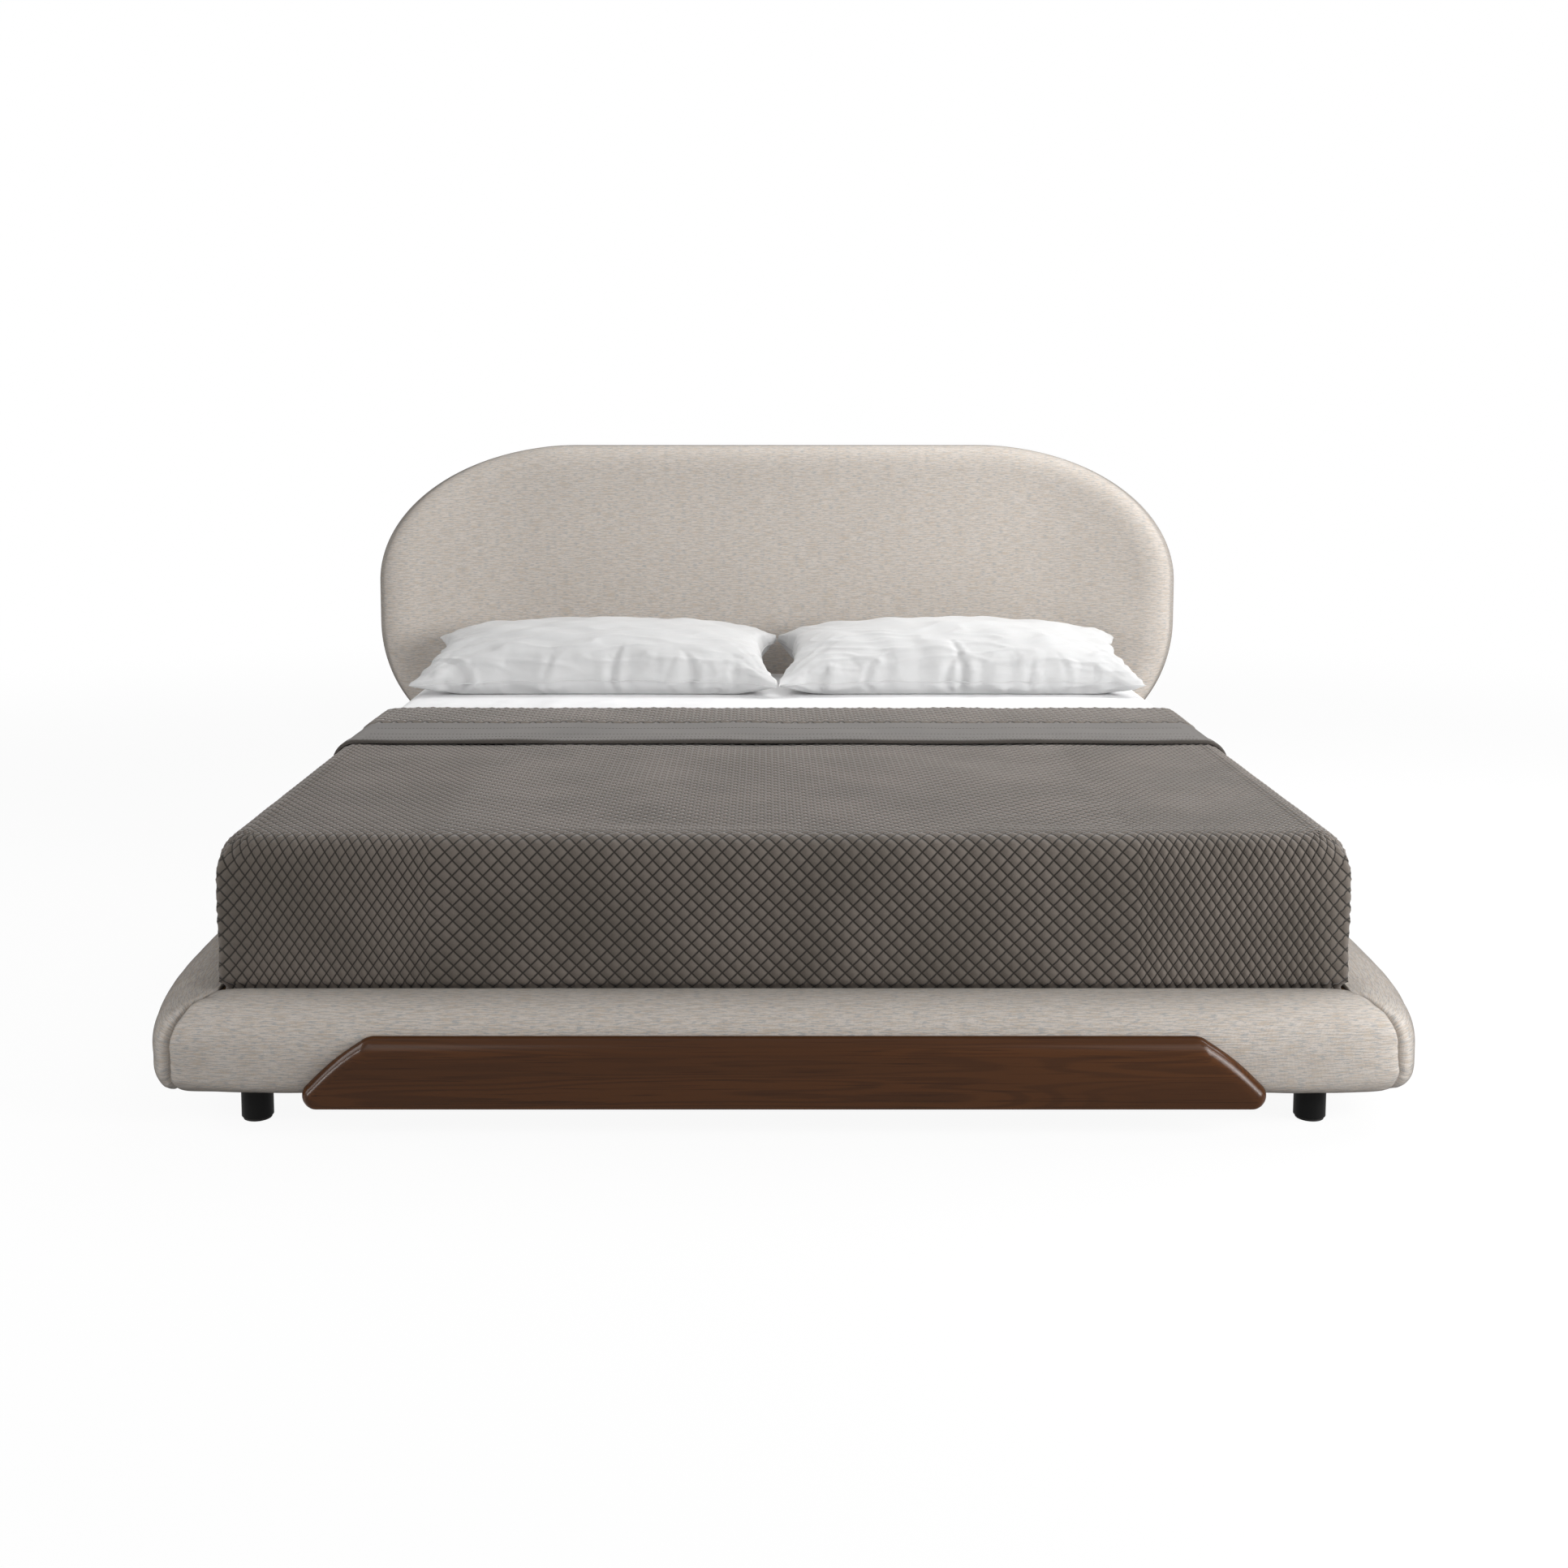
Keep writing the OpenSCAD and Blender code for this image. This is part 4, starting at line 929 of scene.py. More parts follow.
class BED_OT_headboard(bpy.types.Operator):
    """Makes the padded headboard and covers its back panel"""
    bl_idname = "bed.headboard"
    bl_label = "Headboard"

    def execute(self, context):
        pad = headboard_pad()
        dress(pad, once(oatmeal_fabric, "oatmeal"), "frame",
              ("headboard_cover", "headboard_foam"))
        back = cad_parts["headboard_back_panel"]
        paint(back, once(oatmeal_fabric, "oatmeal_back", "Object"))
        return {"FINISHED"}


# Trim board

def trim_outline(top_in, side_in, low_in):
    """Trim board's outline, its top, ends and bottom moved in by their own distances"""
    low, high = TRIM_LOW.z + low_in, TRIM_HIGH.z - top_in
    c, n = math.cos(TRIM_SLANT), math.sin(TRIM_SLANT)
    tip_centre = n * (TRIM_HIGH.x - TRIM_SHORT - TRIM_TIP_R) + c * (TRIM_LOW.z + TRIM_TIP_R)
    end = tip_centre + TRIM_TIP_R - side_in
    tip_r = max(TRIM_TIP_R - 0.5 * side_in, 0.004)
    tip_x = (end - tip_r - c * (low + tip_r)) / n
    turn = np.linspace(-math.pi / 2, math.pi / 2 - TRIM_SLANT, 16)
    tip = np.stack([tip_x + tip_r * np.cos(turn), low + tip_r + tip_r * np.sin(turn)], -1)
    bend_x = (end - c * high) / n - TRIM_TOP_R * math.tan(TRIM_SLANT / 2)
    turn = np.linspace(math.pi / 2 - TRIM_SLANT, math.pi / 2, 12)
    top = np.stack([bend_x + TRIM_TOP_R * np.cos(turn),
                    high - TRIM_TOP_R * (1 - np.sin(turn))], -1)
    share = np.linspace(0, 1, 14)[1:-1, None]
    slant = tip[-1] + (top[0] - tip[-1]) * share
    slant = slant + np.array([n, c]) * TRIM_BOW * np.sin(math.pi * share)
    half = np.concatenate([tip, slant, top])
    return np.concatenate([half, half[::-1] * MIRROR])


def trim_board():
    """Trim board with a wide round-over along its top and slanted ends"""
    front, back = TRIM_LOW.y, TRIM_HIGH.y
    rings = [trim_outline(TRIM_EASE, TRIM_EASE, TRIM_EASE), trim_outline(0, 0, 0)]
    depths = [back, back - TRIM_EASE]
    full = math.sqrt(1 - (1 - BEVEL_DEEP / BEVEL_END_R) ** 2)
    for turn in np.linspace(0, BEVEL_TURN, 14):
        wide = (1 - math.cos(turn)) / (1 - math.cos(BEVEL_TURN))
        small = 1 - math.sin(turn) / math.sin(BEVEL_TURN)
        level = 1 - BEVEL_DEEP * small / BEVEL_END_R
        side = BEVEL_END_R * (full - math.sqrt(1 - level * level))
        rings.append(trim_outline(BEVEL_TOP * wide, side, BEVEL_LOW * wide))
        depths.append(front + BEVEL_DEEP * small)
    points = np.empty((len(rings), len(rings[0]), 3))
    points[..., [0, 2]] = rings
    points[..., 1] = np.array(depths)[:, None]
    closed = np.concatenate([points, points[:, :1]], axis=1)
    shell = Shell()
    shell.grid(closed, closed[..., [0, 2]])
    shell.ends(points, points[..., [0, 2]])
    piece = shell.build("trim_board")
    piece.data.set_sharp_from_angle(angle=math.radians(16))
    return piece


class BED_OT_trim(bpy.types.Operator):
    """Makes the wood trim board of the foot rail"""
    bl_idname = "bed.trim"
    bl_label = "Trim board"

    def execute(self, context):
        looks = context.scene.bed_colours
        walnut = once(wood, "walnut", looks.walnut, looks.walnut_dark, 0, 0.14, 0.16)
        dress(trim_board(), walnut, "frame", ("foot_trim",))
        return {"FINISHED"}


# Frame, legs and fixings

class BED_OT_frame(bpy.types.Operator):
    """Finishes the timber, legs, posts and fixings"""
    bl_idname = "bed.frame"
    bl_label = "Frame and fixings"

    def execute(self, context):
        looks = context.scene.bed_colours
        across = once(wood, "timber_across", looks.timber, looks.timber_dark, 0, 0.5)
        along = once(wood, "timber_along", looks.timber, looks.timber_dark, 1, 0.5)
        black = once(metal, "black_coat", looks.black, 0.0, 0.5, 900.0, 0.12)
        zinc = once(metal, "zinc", looks.steel, 1.0, 0.28, 400.0)
        felt = once(metal, "glide", looks.glide, 0.0, 0.8, 1500.0)
        rules = (("leg_glides", felt), ("levelling_foot", zinc), ("leg_", black),
                 ("centre_leg", black), ("headboard_post", black), ("bracket", zinc),
                 ("beam_hanger", zinc), ("_bolts", zinc), ("_screws", zinc),
                 ("slat_ledger", along), ("side_rail_frame", along), ("centre_beam", along),
                 ("slat_", across), ("_frame", across), ("headboard_panel", across))
        for name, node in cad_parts.items():
            found = [material for key, material in rules if key in name]
            if found and not node.hide_render:
                paint(node, found[0])
        return {"FINISHED"}


# Bedding

def drop_profile(radius, top, low, step, arc_steps):
    """Edge of a tray from its top to its hem, as distances out, heights and lengths of cloth"""
    turn = np.linspace(0, math.pi / 2, arc_steps + 1)[1:]
    z = top - radius * (1 - np.cos(turn))
    run = radius * turn
    down = even(z[-1], low, -step)[1:]
    return (np.r_[radius * np.sin(turn), np.full(down.shape, radius)], np.r_[z, down],
            np.r_[run, run[-1] + z[-1] - down])


def tray_lines(low, high, corner, between):
    """Grid lines of a tray from low to high: fine ones over its corners, given ones between"""
    fine = corner / 6
    lines = [even(low, low + corner, fine), between, even(high - corner, high, fine)]
    return np.unique(np.round(np.concatenate(lines), 6))


class Tray:
    """Flat top of a cover, as a grid of plan points with rounded corners, and its rim with the
    directions out of it. An open one has no rim and no rounded corners at its rear end."""

    def __init__(self, half, y0, y1, corner, columns, rows, is_open=False):
        self.columns, self.rows, self.is_open = columns, rows, is_open
        self.plan = np.stack(np.meshgrid(columns, rows), -1).astype(float)
        for side in (-1, 1):
            for end in [-1] if is_open else [-1, 1]:
                self.round_corner(side, end, half, y0, y1, corner)
        plan = self.plan
        rim = [plan[::-1, 0], plan[0, 1:], plan[1:, -1]]
        if not is_open:
            rim.append(plan[-1, ::-1][1:])
        self.rim = np.concatenate(rim)
        near_x = np.clip(self.rim[:, 0], -(half - corner), half - corner)
        near_y = np.clip(self.rim[:, 1], y0 + corner, math.inf if is_open else y1 - corner)
        self.out = unit(self.rim - np.stack([near_x, near_y], -1))

    def round_corner(self, side, end, half, y0, y1, corner):
        """Bends the square of the grid at one corner to a quarter of a circle"""
        centre = np.array([side * (half - corner), (y0 + corner) if end < 0 else (y1 - corner)])
        a, b = np.moveaxis((self.plan - centre) * [side, end] / corner, -1, 0)
        inside = (a > 1e-9) & (b > 1e-9)
        ratio = np.where(a >= b, b / np.maximum(a, 1e-9), 2 - a / np.maximum(b, 1e-9))
        turn = ratio * math.pi / 4
        bent = np.stack([np.cos(turn), np.sin(turn)], -1) * np.maximum(a, b)[..., None]
        self.plan = np.where(inside[..., None], bent * corner * [side, end] + centre, self.plan)

    def fade(self, reach):
        """Share from 0 at the rim to 1 at a distance from it, for each point of the grid"""
        x, y = np.meshgrid(self.columns, self.rows)
        share = smooth((self.columns[-1] - np.abs(x)) / reach) * smooth((y - self.rows[0]) / reach)
        return share if self.is_open else share * smooth((self.rows[-1] - y) / reach)

    def raised(self, height):
        """Grid of points at the given heights"""
        height = np.broadcast_to(height, self.plan.shape[:2])
        return np.concatenate([self.plan, height[..., None]], -1)

    def skirt(self, top, profile, boxed=0.0):
        """Grid from the rim over its edge and down to its hem, and its cloth coordinates. A boxed
        share draws the corners out towards square ones below the edge."""
        reach, z, run = profile
        square = 1 / np.maximum(np.abs(self.out).max(axis=-1, keepdims=True), 0.5) - 1
        points = np.empty((len(reach) + 1, len(self.rim), 3))
        points[0] = np.c_[self.rim, np.full(len(self.rim), top)]
        cloth = self.rim + self.out * np.r_[0, run][:, None, None]
        for k, (r, h) in enumerate(zip(reach, z), 1):
            drawn = 1 + square * boxed * smooth((z[0] - h) / 0.06)
            points[k, :, :2] = self.rim + self.out * r * drawn
            points[k, :, 2] = h
        return points, cloth

    def lining(self, shell, points, cloth, top, profile):
        """Adds the inner side of a skirt and its hem to a shell, and returns the inner side"""
        inner, inner_cloth = self.skirt(top, profile)
        shell.grid(inner[::-1], inner_cloth[::-1])
        shell.grid(np.stack([points[-1], inner[-1]]), np.stack([cloth[-1], inner_cloth[-1]]))
        return inner, inner_cloth


def fitted_sheet_piece():
    """Fitted sheet over the mattress, with soft creases on its top"""
    radius = MATTRESS_EDGE + SHEET_GAP + SHEET_T
    corner = MATTRESS_CORNER + SHEET_GAP + SHEET_T - radius
    top, low = MATTRESS_HIGH.z + SHEET_GAP + SHEET_T, SHEET_LOW.z
    half, y0, y1 = SHEET_HIGH.x - radius, SHEET_LOW.y + radius, SHEET_HIGH.y - radius
    near, far = SHEET_SHOWN
    between = [even(y0 + corner, near, 0.05), even(near, far, 0.007), even(far, y1 - corner, 0.02)]
    tray = Tray(half, y0, y1, corner,
                tray_lines(-half, half, corner, even(-half + corner, half - corner, 0.009)),
                tray_lines(y0, y1, corner, np.concatenate(between)))
    x, y = np.moveaxis(tray.plan, -1, 0)
    crease = unevenness(x, y * 0.35, 0.09, 3, 14) + 0.5 * unevenness(x * 0.5, y, 0.045, 4, 14)
    shown = smooth((y - FOLD_Y) / 0.03) * smooth((PILLOW_LOW.y - 0.01 - y) / 0.03)
    rise = np.maximum(crease + 0.35, 0) * 0.0024 * shown * tray.fade(0.05)
    shell = Shell()
    shell.grid(tray.raised(top + rise), tray.plan)
    points, cloth = tray.skirt(top, drop_profile(radius, top, low, 0.04, 7))
    shell.grid(points, cloth)
    profile = drop_profile(radius - SHEET_T, top - SHEET_T, low, 0.04, 7)
    inner, inner_cloth = tray.lining(shell, points, cloth, top - SHEET_T, profile)
    shell.cap(inner[0][:-1], inner_cloth[0][:-1])
    return shell.build("fitted_sheet_cloth")


def mattress_block():
    """Mattress with rounded edges and slightly hollow sides, its underside softly quilted"""
    e = MATTRESS_EDGE
    corner = MATTRESS_CORNER - e
    half, y0, y1 = MATTRESS_HIGH.x - e, MATTRESS_LOW.y + e, MATTRESS_HIGH.y - e
    z0, z1 = MATTRESS_LOW.z, MATTRESS_HIGH.z
    lines = [tray_lines(low, high, corner, even(low + corner, high - corner, MATTRESS_GRID))
             for low, high in ((-half, half), (y0, y1))]
    tray = Tray(half, y0, y1, corner, *lines)
    tufts = np.abs(np.sin(tray.plan * math.pi / MATTRESS_TUFT).prod(axis=-1))
    lift = UNDERSIDE_LIFT * (1 - tufts) * tray.fade(0.05)
    shell = Shell()
    shell.grid(tray.raised(z1), tray.plan)
    shell.grid(tray.raised(z0 + lift)[:, ::-1], tray.plan[:, ::-1])
    turn = np.linspace(0, math.pi / 2, 9)
    hollow = MATTRESS_HOLLOW * np.sin(np.linspace(0, math.pi, 9)[1:-1])
    heights = np.r_[z1 - e * (1 - np.cos(turn)), np.linspace(z1 - e, z0 + e, 9)[1:-1],
                    z0 + e * (1 - np.sin(turn))]
    reach = np.r_[e * np.sin(turn), e - hollow, e * np.cos(turn)]
    points = np.empty((len(heights), len(tray.rim), 3))
    points[..., :2] = tray.rim + tray.out * reach[:, None, None]
    points[..., 2] = heights[:, None]
    shell.grid(points, points[..., [0, 2]])
    return shell.build("mattress_block")


class BED_OT_mattress(bpy.types.Operator):
    """Makes the mattress and the fitted sheet on it"""
    bl_idname = "bed.mattress"
    bl_label = "Mattress and fitted sheet"

    def execute(self, context):
        looks = context.scene.bed_colours
        block = mattress_block()
        dress(block, once(ticking, "ticking"), "mattress",
              ("mattress_cover", "mattress_core"))
        sheet = fitted_sheet_piece()
        dress(sheet, once(cotton, "white_cotton", looks.cotton), "mattress",
              ("fitted_sheet",))
        return {"FINISHED"}


# Coverlet

def quilt_map(cloth):
    """Quilt units of a cloth coordinate: narrow diamonds at the sides, wide ones in the middle"""
    sizes = bpy.context.scene.bed_sizes
    zone = QUILT_ZONE * sizes.quilt_w
    x = cloth[..., 0]
    far = np.maximum(np.abs(x) - zone, 0) / sizes.quilt_side_w
    across = np.sign(x) * (np.minimum(np.abs(x), zone) / sizes.quilt_w + far)
    return np.stack([across, (cloth[..., 1] - OPEN_Y) / sizes.quilt_h], -1)


class GeometryTree(Tree):
    """New geometry tree with geometry, lengths and a material as its inputs"""

    def __init__(self, name, **lengths):
        super().__init__(bpy.data.node_groups.new(name, "GeometryNodeTree"))
        self.keys = {}
        self.socket("Geometry", "Geometry")
        for key, value in lengths.items():
            self.socket(key, "Float").default_value = value
        self.socket("Material", "Material")
        self.socket("Geometry", "Geometry", "OUTPUT")
        self.given = self.add("NodeGroupInput").outputs

    def socket(self, name, kind, side="INPUT"):
        made = self.tree.interface.new_socket(name, in_out=side, socket_type=f"NodeSocket{kind}")
        if side == "INPUT":
            self.keys[name] = made.identifier
        return made

    def finish(self, geometry):
        """Realizes the geometry, gives it the material and sends it out"""
        real = self.add("GeometryNodeRealizeInstances", {"Geometry": geometry})
        inputs = {"Geometry": real.outputs[0], "Material": self.given["Material"]}
        painted = self.add("GeometryNodeSetMaterial", inputs)
        self.add("NodeGroupOutput", {0: painted.outputs[0]})
        return self

    def run_on(self, piece, **values):
        """Runs the tree on a piece and keeps the result as its plain mesh"""
        modifier = piece.modifiers.new(self.tree.name, "NODES")
        modifier.node_group = self.tree
        for key, value in values.items():
            modifier[self.keys[key]] = value
        bpy.context.view_layer.update()
        apply_modifiers(piece)
        clean(piece.data)


def quilting_tree():
    """Geometry nodes that raise each stitched diamond of a quilted piece"""
    work = GeometryTree("Quilting", Puff=0.002)
    given = work.given
    named = "GeometryNodeInputNamedAttribute"
    quilt = work.add(named, {"Name": "quilt"}, data_type="FLOAT_VECTOR")
    mask = work.add(named, {"Name": "puffed"}, data_type="FLOAT")
    rise = work.maths("MULTIPLY", *work.diamonds(quilt.outputs["Attribute"]))
    place = work.add("GeometryNodeInputPosition").outputs[0]
    sag = work.scaled(work.noise(place, 9.0), 0.7, 0.65)
    rise = work.maths("MULTIPLY", work.maths("MULTIPLY", rise, sag), given["Puff"])
    rise = work.maths("MULTIPLY", rise, mask.outputs["Attribute"])
    normal = work.add("GeometryNodeInputNormal").outputs[0]
    push = work.add("ShaderNodeVectorMath", {0: normal, "Scale": rise}, operation="SCALE")
    inputs = {"Geometry": given["Geometry"], "Offset": push.outputs[0]}
    return work.finish(work.add("GeometryNodeSetPosition", inputs).outputs[0])


def stitch_tree():
    """Geometry nodes that lay stitches along a line"""
    work = GeometryTree("Stitches", Spacing=0.008, Length=0.005, Thread=0.0009)
    given = work.given
    curve = work.add("GeometryNodeMeshToCurve", {"Mesh": given["Geometry"]})
    inputs = {"Curve": curve.outputs[0], "Length": given["Spacing"]}
    spaced = work.add("GeometryNodeResampleCurve", inputs, mode="LENGTH")
    ball = work.add("GeometryNodeMeshUVSphere", {"Segments": 6, "Rings": 4, "Radius": 0.5})
    inputs = {0: given["Thread"], 1: given["Thread"], 2: given["Length"]}
    size = work.add("ShaderNodeCombineXYZ", inputs)
    tangent = work.add("GeometryNodeInputTangent").outputs[0]
    turn = work.add("FunctionNodeAlignEulerToVector", {"Vector": tangent}, axis="Z")
    inputs = {"Points": spaced.outputs[0], "Instance": ball.outputs[0],
              "Rotation": turn.outputs[0], "Scale": size.outputs[0]}
    return work.finish(work.add("GeometryNodeInstanceOnPoints", inputs).outputs[0])


def stitches(name, lines, material, body, slot, **sizes):
    """Rows of stitches along lines of points, as one plain mesh"""
    mesh = bpy.data.meshes.new(name)
    points, edges = [], []
    for line in lines:
        start = len(points)
        points.extend(np.asarray(line).tolist())
        edges.extend([(start + k, start + k + 1) for k in range(len(line) - 1)])
    mesh.from_pydata(points, edges, [])
    piece = placed(name, mesh)
    stitch_tree().run_on(piece, Material=material, **sizes)
    dress(piece, material, body)


def mark_puffs(piece, rule):
    """Marks how much each point of a piece is raised by its quilting"""
    marks = piece.data.attributes.new("puffed", "FLOAT", "POINT")
    marks.data.foreach_set("value", rule(vectors(piece.data)).astype(np.float32))


def cover_bulge(z):
    """How far the coverlet's sides swell out between the mattress's top and the rails"""
    share = np.clip((COVER_TOP - z) / (COVER_TOP - RAIL_TOP - 0.001), 0, 1)
    return COVER_BULGE * smooth(share / 0.3) * smooth((1 - share) / 0.04)


def boxed_cloth(tray, run, half, front, corner, around):
    """Cloth coordinates of a skirt with boxed corners: those of its front, those of its sides, and
    the columns between which the front lies"""
    rim, out = tray.rim, tray.out
    turn = np.arctan2(np.abs(out[:, 0]), -out[:, 1])
    side = np.sign(rim[:, 0])
    fall = np.r_[0, run][:, None]
    front_x = np.where(turn > 0, side * (half - corner + around * turn), rim[:, 0])
    back_turn = math.pi / 2 - turn
    side_y = np.where(back_turn > 0, front + corner - around * back_turn, rim[:, 1])
    ahead = pairs(front_x[None], front - fall)
    beside = pairs(side * (half + fall), side_y[None])
    within = np.nonzero(turn <= math.pi / 4)[0]
    return ahead, beside, within[0], within[-1]


def quilt_lines(half, y0, y1, corner):
    """Columns and rows of the coverlet's top, four to a diamond where the quilting shows"""
    sizes = bpy.context.scene.bed_sizes
    middle = np.arange(-4 * QUILT_ZONE, 4 * QUILT_ZONE + 1) * (sizes.quilt_w / 4)
    outer = np.r_[even(QUILT_ZONE * sizes.quilt_w, half - corner, sizes.quilt_side_w / 4)[1:],
                  even(half - corner, half, corner / 8)[1:]]
    hidden = FOLD_Y - BAND_L
    step = sizes.quilt_h / 4
    first = math.ceil((y0 + corner - OPEN_Y) / step) + 1
    last = int((hidden - OPEN_Y) / step)
    rows = np.r_[even(y0, y0 + corner, corner / 8), OPEN_Y + np.arange(first, last + 1) * step,
                 even(hidden + 0.005, y1, 0.03)]
    return np.r_[-outer[::-1], middle, outer], rows


def coverlet_body():
    """Quilted coverlet over the mattress, its front corners boxed and its hem between the
    rails"""
    sizes = bpy.context.scene.bed_sizes
    puff, low = sizes.puff, COVERLET_LOW.z
    radius = COVER_OUT - puff
    top, side_x, front = COVER_TOP - puff, COVER_HALF - puff, COVERLET_LOW.y + puff
    corner = QUILT_CORNER - COVER_OUT
    half, y0, y1 = side_x - radius, front + radius, FOLD_Y - ROLL - 0.0006
    tray = Tray(half, y0, y1, corner, *quilt_lines(half, y0, y1, corner), True)
    x, y = np.moveaxis(tray.plan, -1, 0)
    soft = (0.0016 * unevenness(x, y, 0.35, 61) - 0.0016) * tray.fade(0.08)
    shell = Shell()
    shell.grid(tray.raised(top + soft * smooth((y1 - y) / 0.3)), tray.plan)
    reach, z, run = drop_profile(radius, top, low, sizes.quilt_h / 4, 11)
    points, cloth = tray.skirt(top, (reach + cover_bulge(z), z, run), 0.8)
    sway = unevenness(tray.rim.sum(axis=-1), 0.0, 0.3, 71) * 0.0016 - 0.0016
    fall = smooth((top - points[..., 2]) / 0.15)
    points[..., :2] += tray.out * (sway * fall)[..., None]
    ahead, beside, first, last = boxed_cloth(tray, run, half, y0, corner, corner + radius)
    for span, part in ((slice(first, last + 1), ahead), (slice(first + 1), beside),
                       (slice(last, None), beside)):
        shell.grid(points[:, span], part[:, span])
    profile = drop_profile(radius - QUILT_T, top - QUILT_T, low, 0.08, 5)
    inner, inner_cloth = tray.lining(shell, points, cloth, top - QUILT_T, profile)
    shell.cap(inner[0], inner_cloth[0])
    ring = np.concatenate([tray.raised(top)[-1], points[1:, -1], inner[::-1, -1], inner[:, 0],
                           points[::-1, 0][:-1]])
    shell.cap(ring, ring[:, [0, 2]])
    piece = shell.build("coverlet_quilt", ("quilt", quilt_map))
    skin = QUILT_T * 0.5

    def outside(co):
        across = np.abs(co[:, 0])
        flat = (co[:, 2] > top - skin) | (across > side_x - skin) | (co[:, 1] < front + skin)
        bent = np.hypot(np.maximum(across - half, 0), np.maximum(y0 - co[:, 1], 0))
        arc = np.hypot(bent, np.maximum(co[:, 2] - (top - radius), 0)) > radius - skin
        shown = (flat | ((bent > 0) & arc)).astype(float)
        return shown * smooth((co[:, 2] - low) / 0.02) * (co[:, 1] < y1 - 0.001)

    mark_puffs(piece, outside)
    return piece


def band_profile():
    """Section of the turned-down band along the bed, as places from the fold and heights above
    the coverlet: its upper side from the hem to the fold, and its underside"""
    hem, line_1, line_2 = -BAND_L, -STRIP_L, -STRIP_L - FAINT_L
    places = [(hem, 0.0004), (hem - 0.0006, 0.002), (hem - 0.0002, 0.006), (hem + 0.002, 0.0086),
              (hem + 0.006, 0.009)]
    places += [(y, 0.0088) for y in even(hem + 0.012, line_2 - 0.008, 0.0066)]
    places += [(line_2 - 0.004, 0.0085), (line_2 - 0.001, 0.0062), (line_2 + 0.002, 0.0056)]
    places += [(y, 0.0062) for y in even(line_2 + 0.008, line_1 - 0.006, 0.0066)]
    places += [(line_1 - 0.003, 0.0054), (line_1, 0.0042), (line_1 + 0.003, 0.0052)]
    places += [(y, 0.0066) for y in even(line_1 + 0.00825, -ROLL, 0.00825)]
    for turn in np.linspace(0, math.pi, 13)[1:]:
        places.append((-ROLL + ROLL * math.sin(turn), 0.0066 - ROLL_H + ROLL_H * math.cos(turn)))
    under = [(y, 0.0003) for y in (-ROLL, -0.12, line_1 - 0.15)]
    return np.array(places), np.array(under)


def band_path(radius, step):
    """Path of the band from one hem up over the bed to the other, and its outward directions"""
    half, top = COVER_HALF, COVER_TOP
    drop = even(BAND_LOW, top - radius, 0.009)
    turn = np.linspace(0, math.pi / 2, 12)[1:-1]
    flat = even(-(half - radius), half - radius, step)
    arc = np.stack([-np.cos(turn), np.sin(turn)], -1)
    side = np.concatenate([np.stack([-half - cover_bulge(drop), drop], -1),
                           arc * radius + [-(half - radius), top - radius]])
    side_out = np.concatenate([pairs(-np.ones(len(drop)), 0.0), arc])
    base = np.concatenate([side, pairs(flat, top), side[::-1] * MIRROR])
    out = np.concatenate([side_out, pairs(0.0, np.ones(len(flat))), side_out[::-1] * MIRROR])
    return base, out


def band_piece():
    """Turned-down band of the coverlet, over its top and down its sides"""
    sizes = bpy.context.scene.bed_sizes
    places, under = band_profile()
    profile = np.concatenate([places, under, places[:1]])
    run = steps_along(profile)
    base, out = band_path(COVER_OUT, sizes.strip_w / 4)
    along = steps_along(base)
    along = (along - along[-1] / 2)[:, None]
    at, above = profile.T
    soft = 0.0009 * unevenness(along, at[None], 0.22, 81)
    ends = smooth((np.abs(along[-1]) - np.abs(along)) / 0.05)
    height = above + (soft - 0.0004) * (above > 0.004) * ends
    hang = unevenness(along, 0.0, 0.5, 82) * 0.0035 * ends
    points = np.empty((len(base), len(profile), 3))
    points[..., [0, 2]] = base[:, None] + out[:, None] * height[..., None]
    points[..., 1] = FOLD_Y - 0.0005 + at + hang * np.clip(-at / BAND_L, 0, 1) - 0.0008
    cloth = pairs(along, run[None])
    shell = Shell()
    shell.grid(points, cloth)
    shell.ends(points[:, :-1], cloth[:, :-1])
    strip_start = run[len(places) - 1] - STRIP_L - ROLL
    fold_line = FOLD_Y - STRIP_L

    def strip_map(cloth):
        return (cloth - [0, strip_start]) / [sizes.strip_w, sizes.strip_h]

    def on_strip(co):
        return smooth((co[:, 1] - fold_line - 0.002) / 0.006) * (co[:, 2] > BAND_LOW + 0.004)

    piece = shell.build("coverlet_band", ("quilt", strip_map))
    mark_puffs(piece, on_strip)
    return piece, fold_line


def on_surface(piece, line, lift):
    """Moves a line of points onto the nearest places of a piece, a little above it"""
    tree = BVHTree.FromObject(piece, bpy.context.evaluated_depsgraph_get())
    found = [tree.find_nearest(Vector(point)) for point in line]
    return np.array([place + normal * lift for place, normal, _, _ in found])


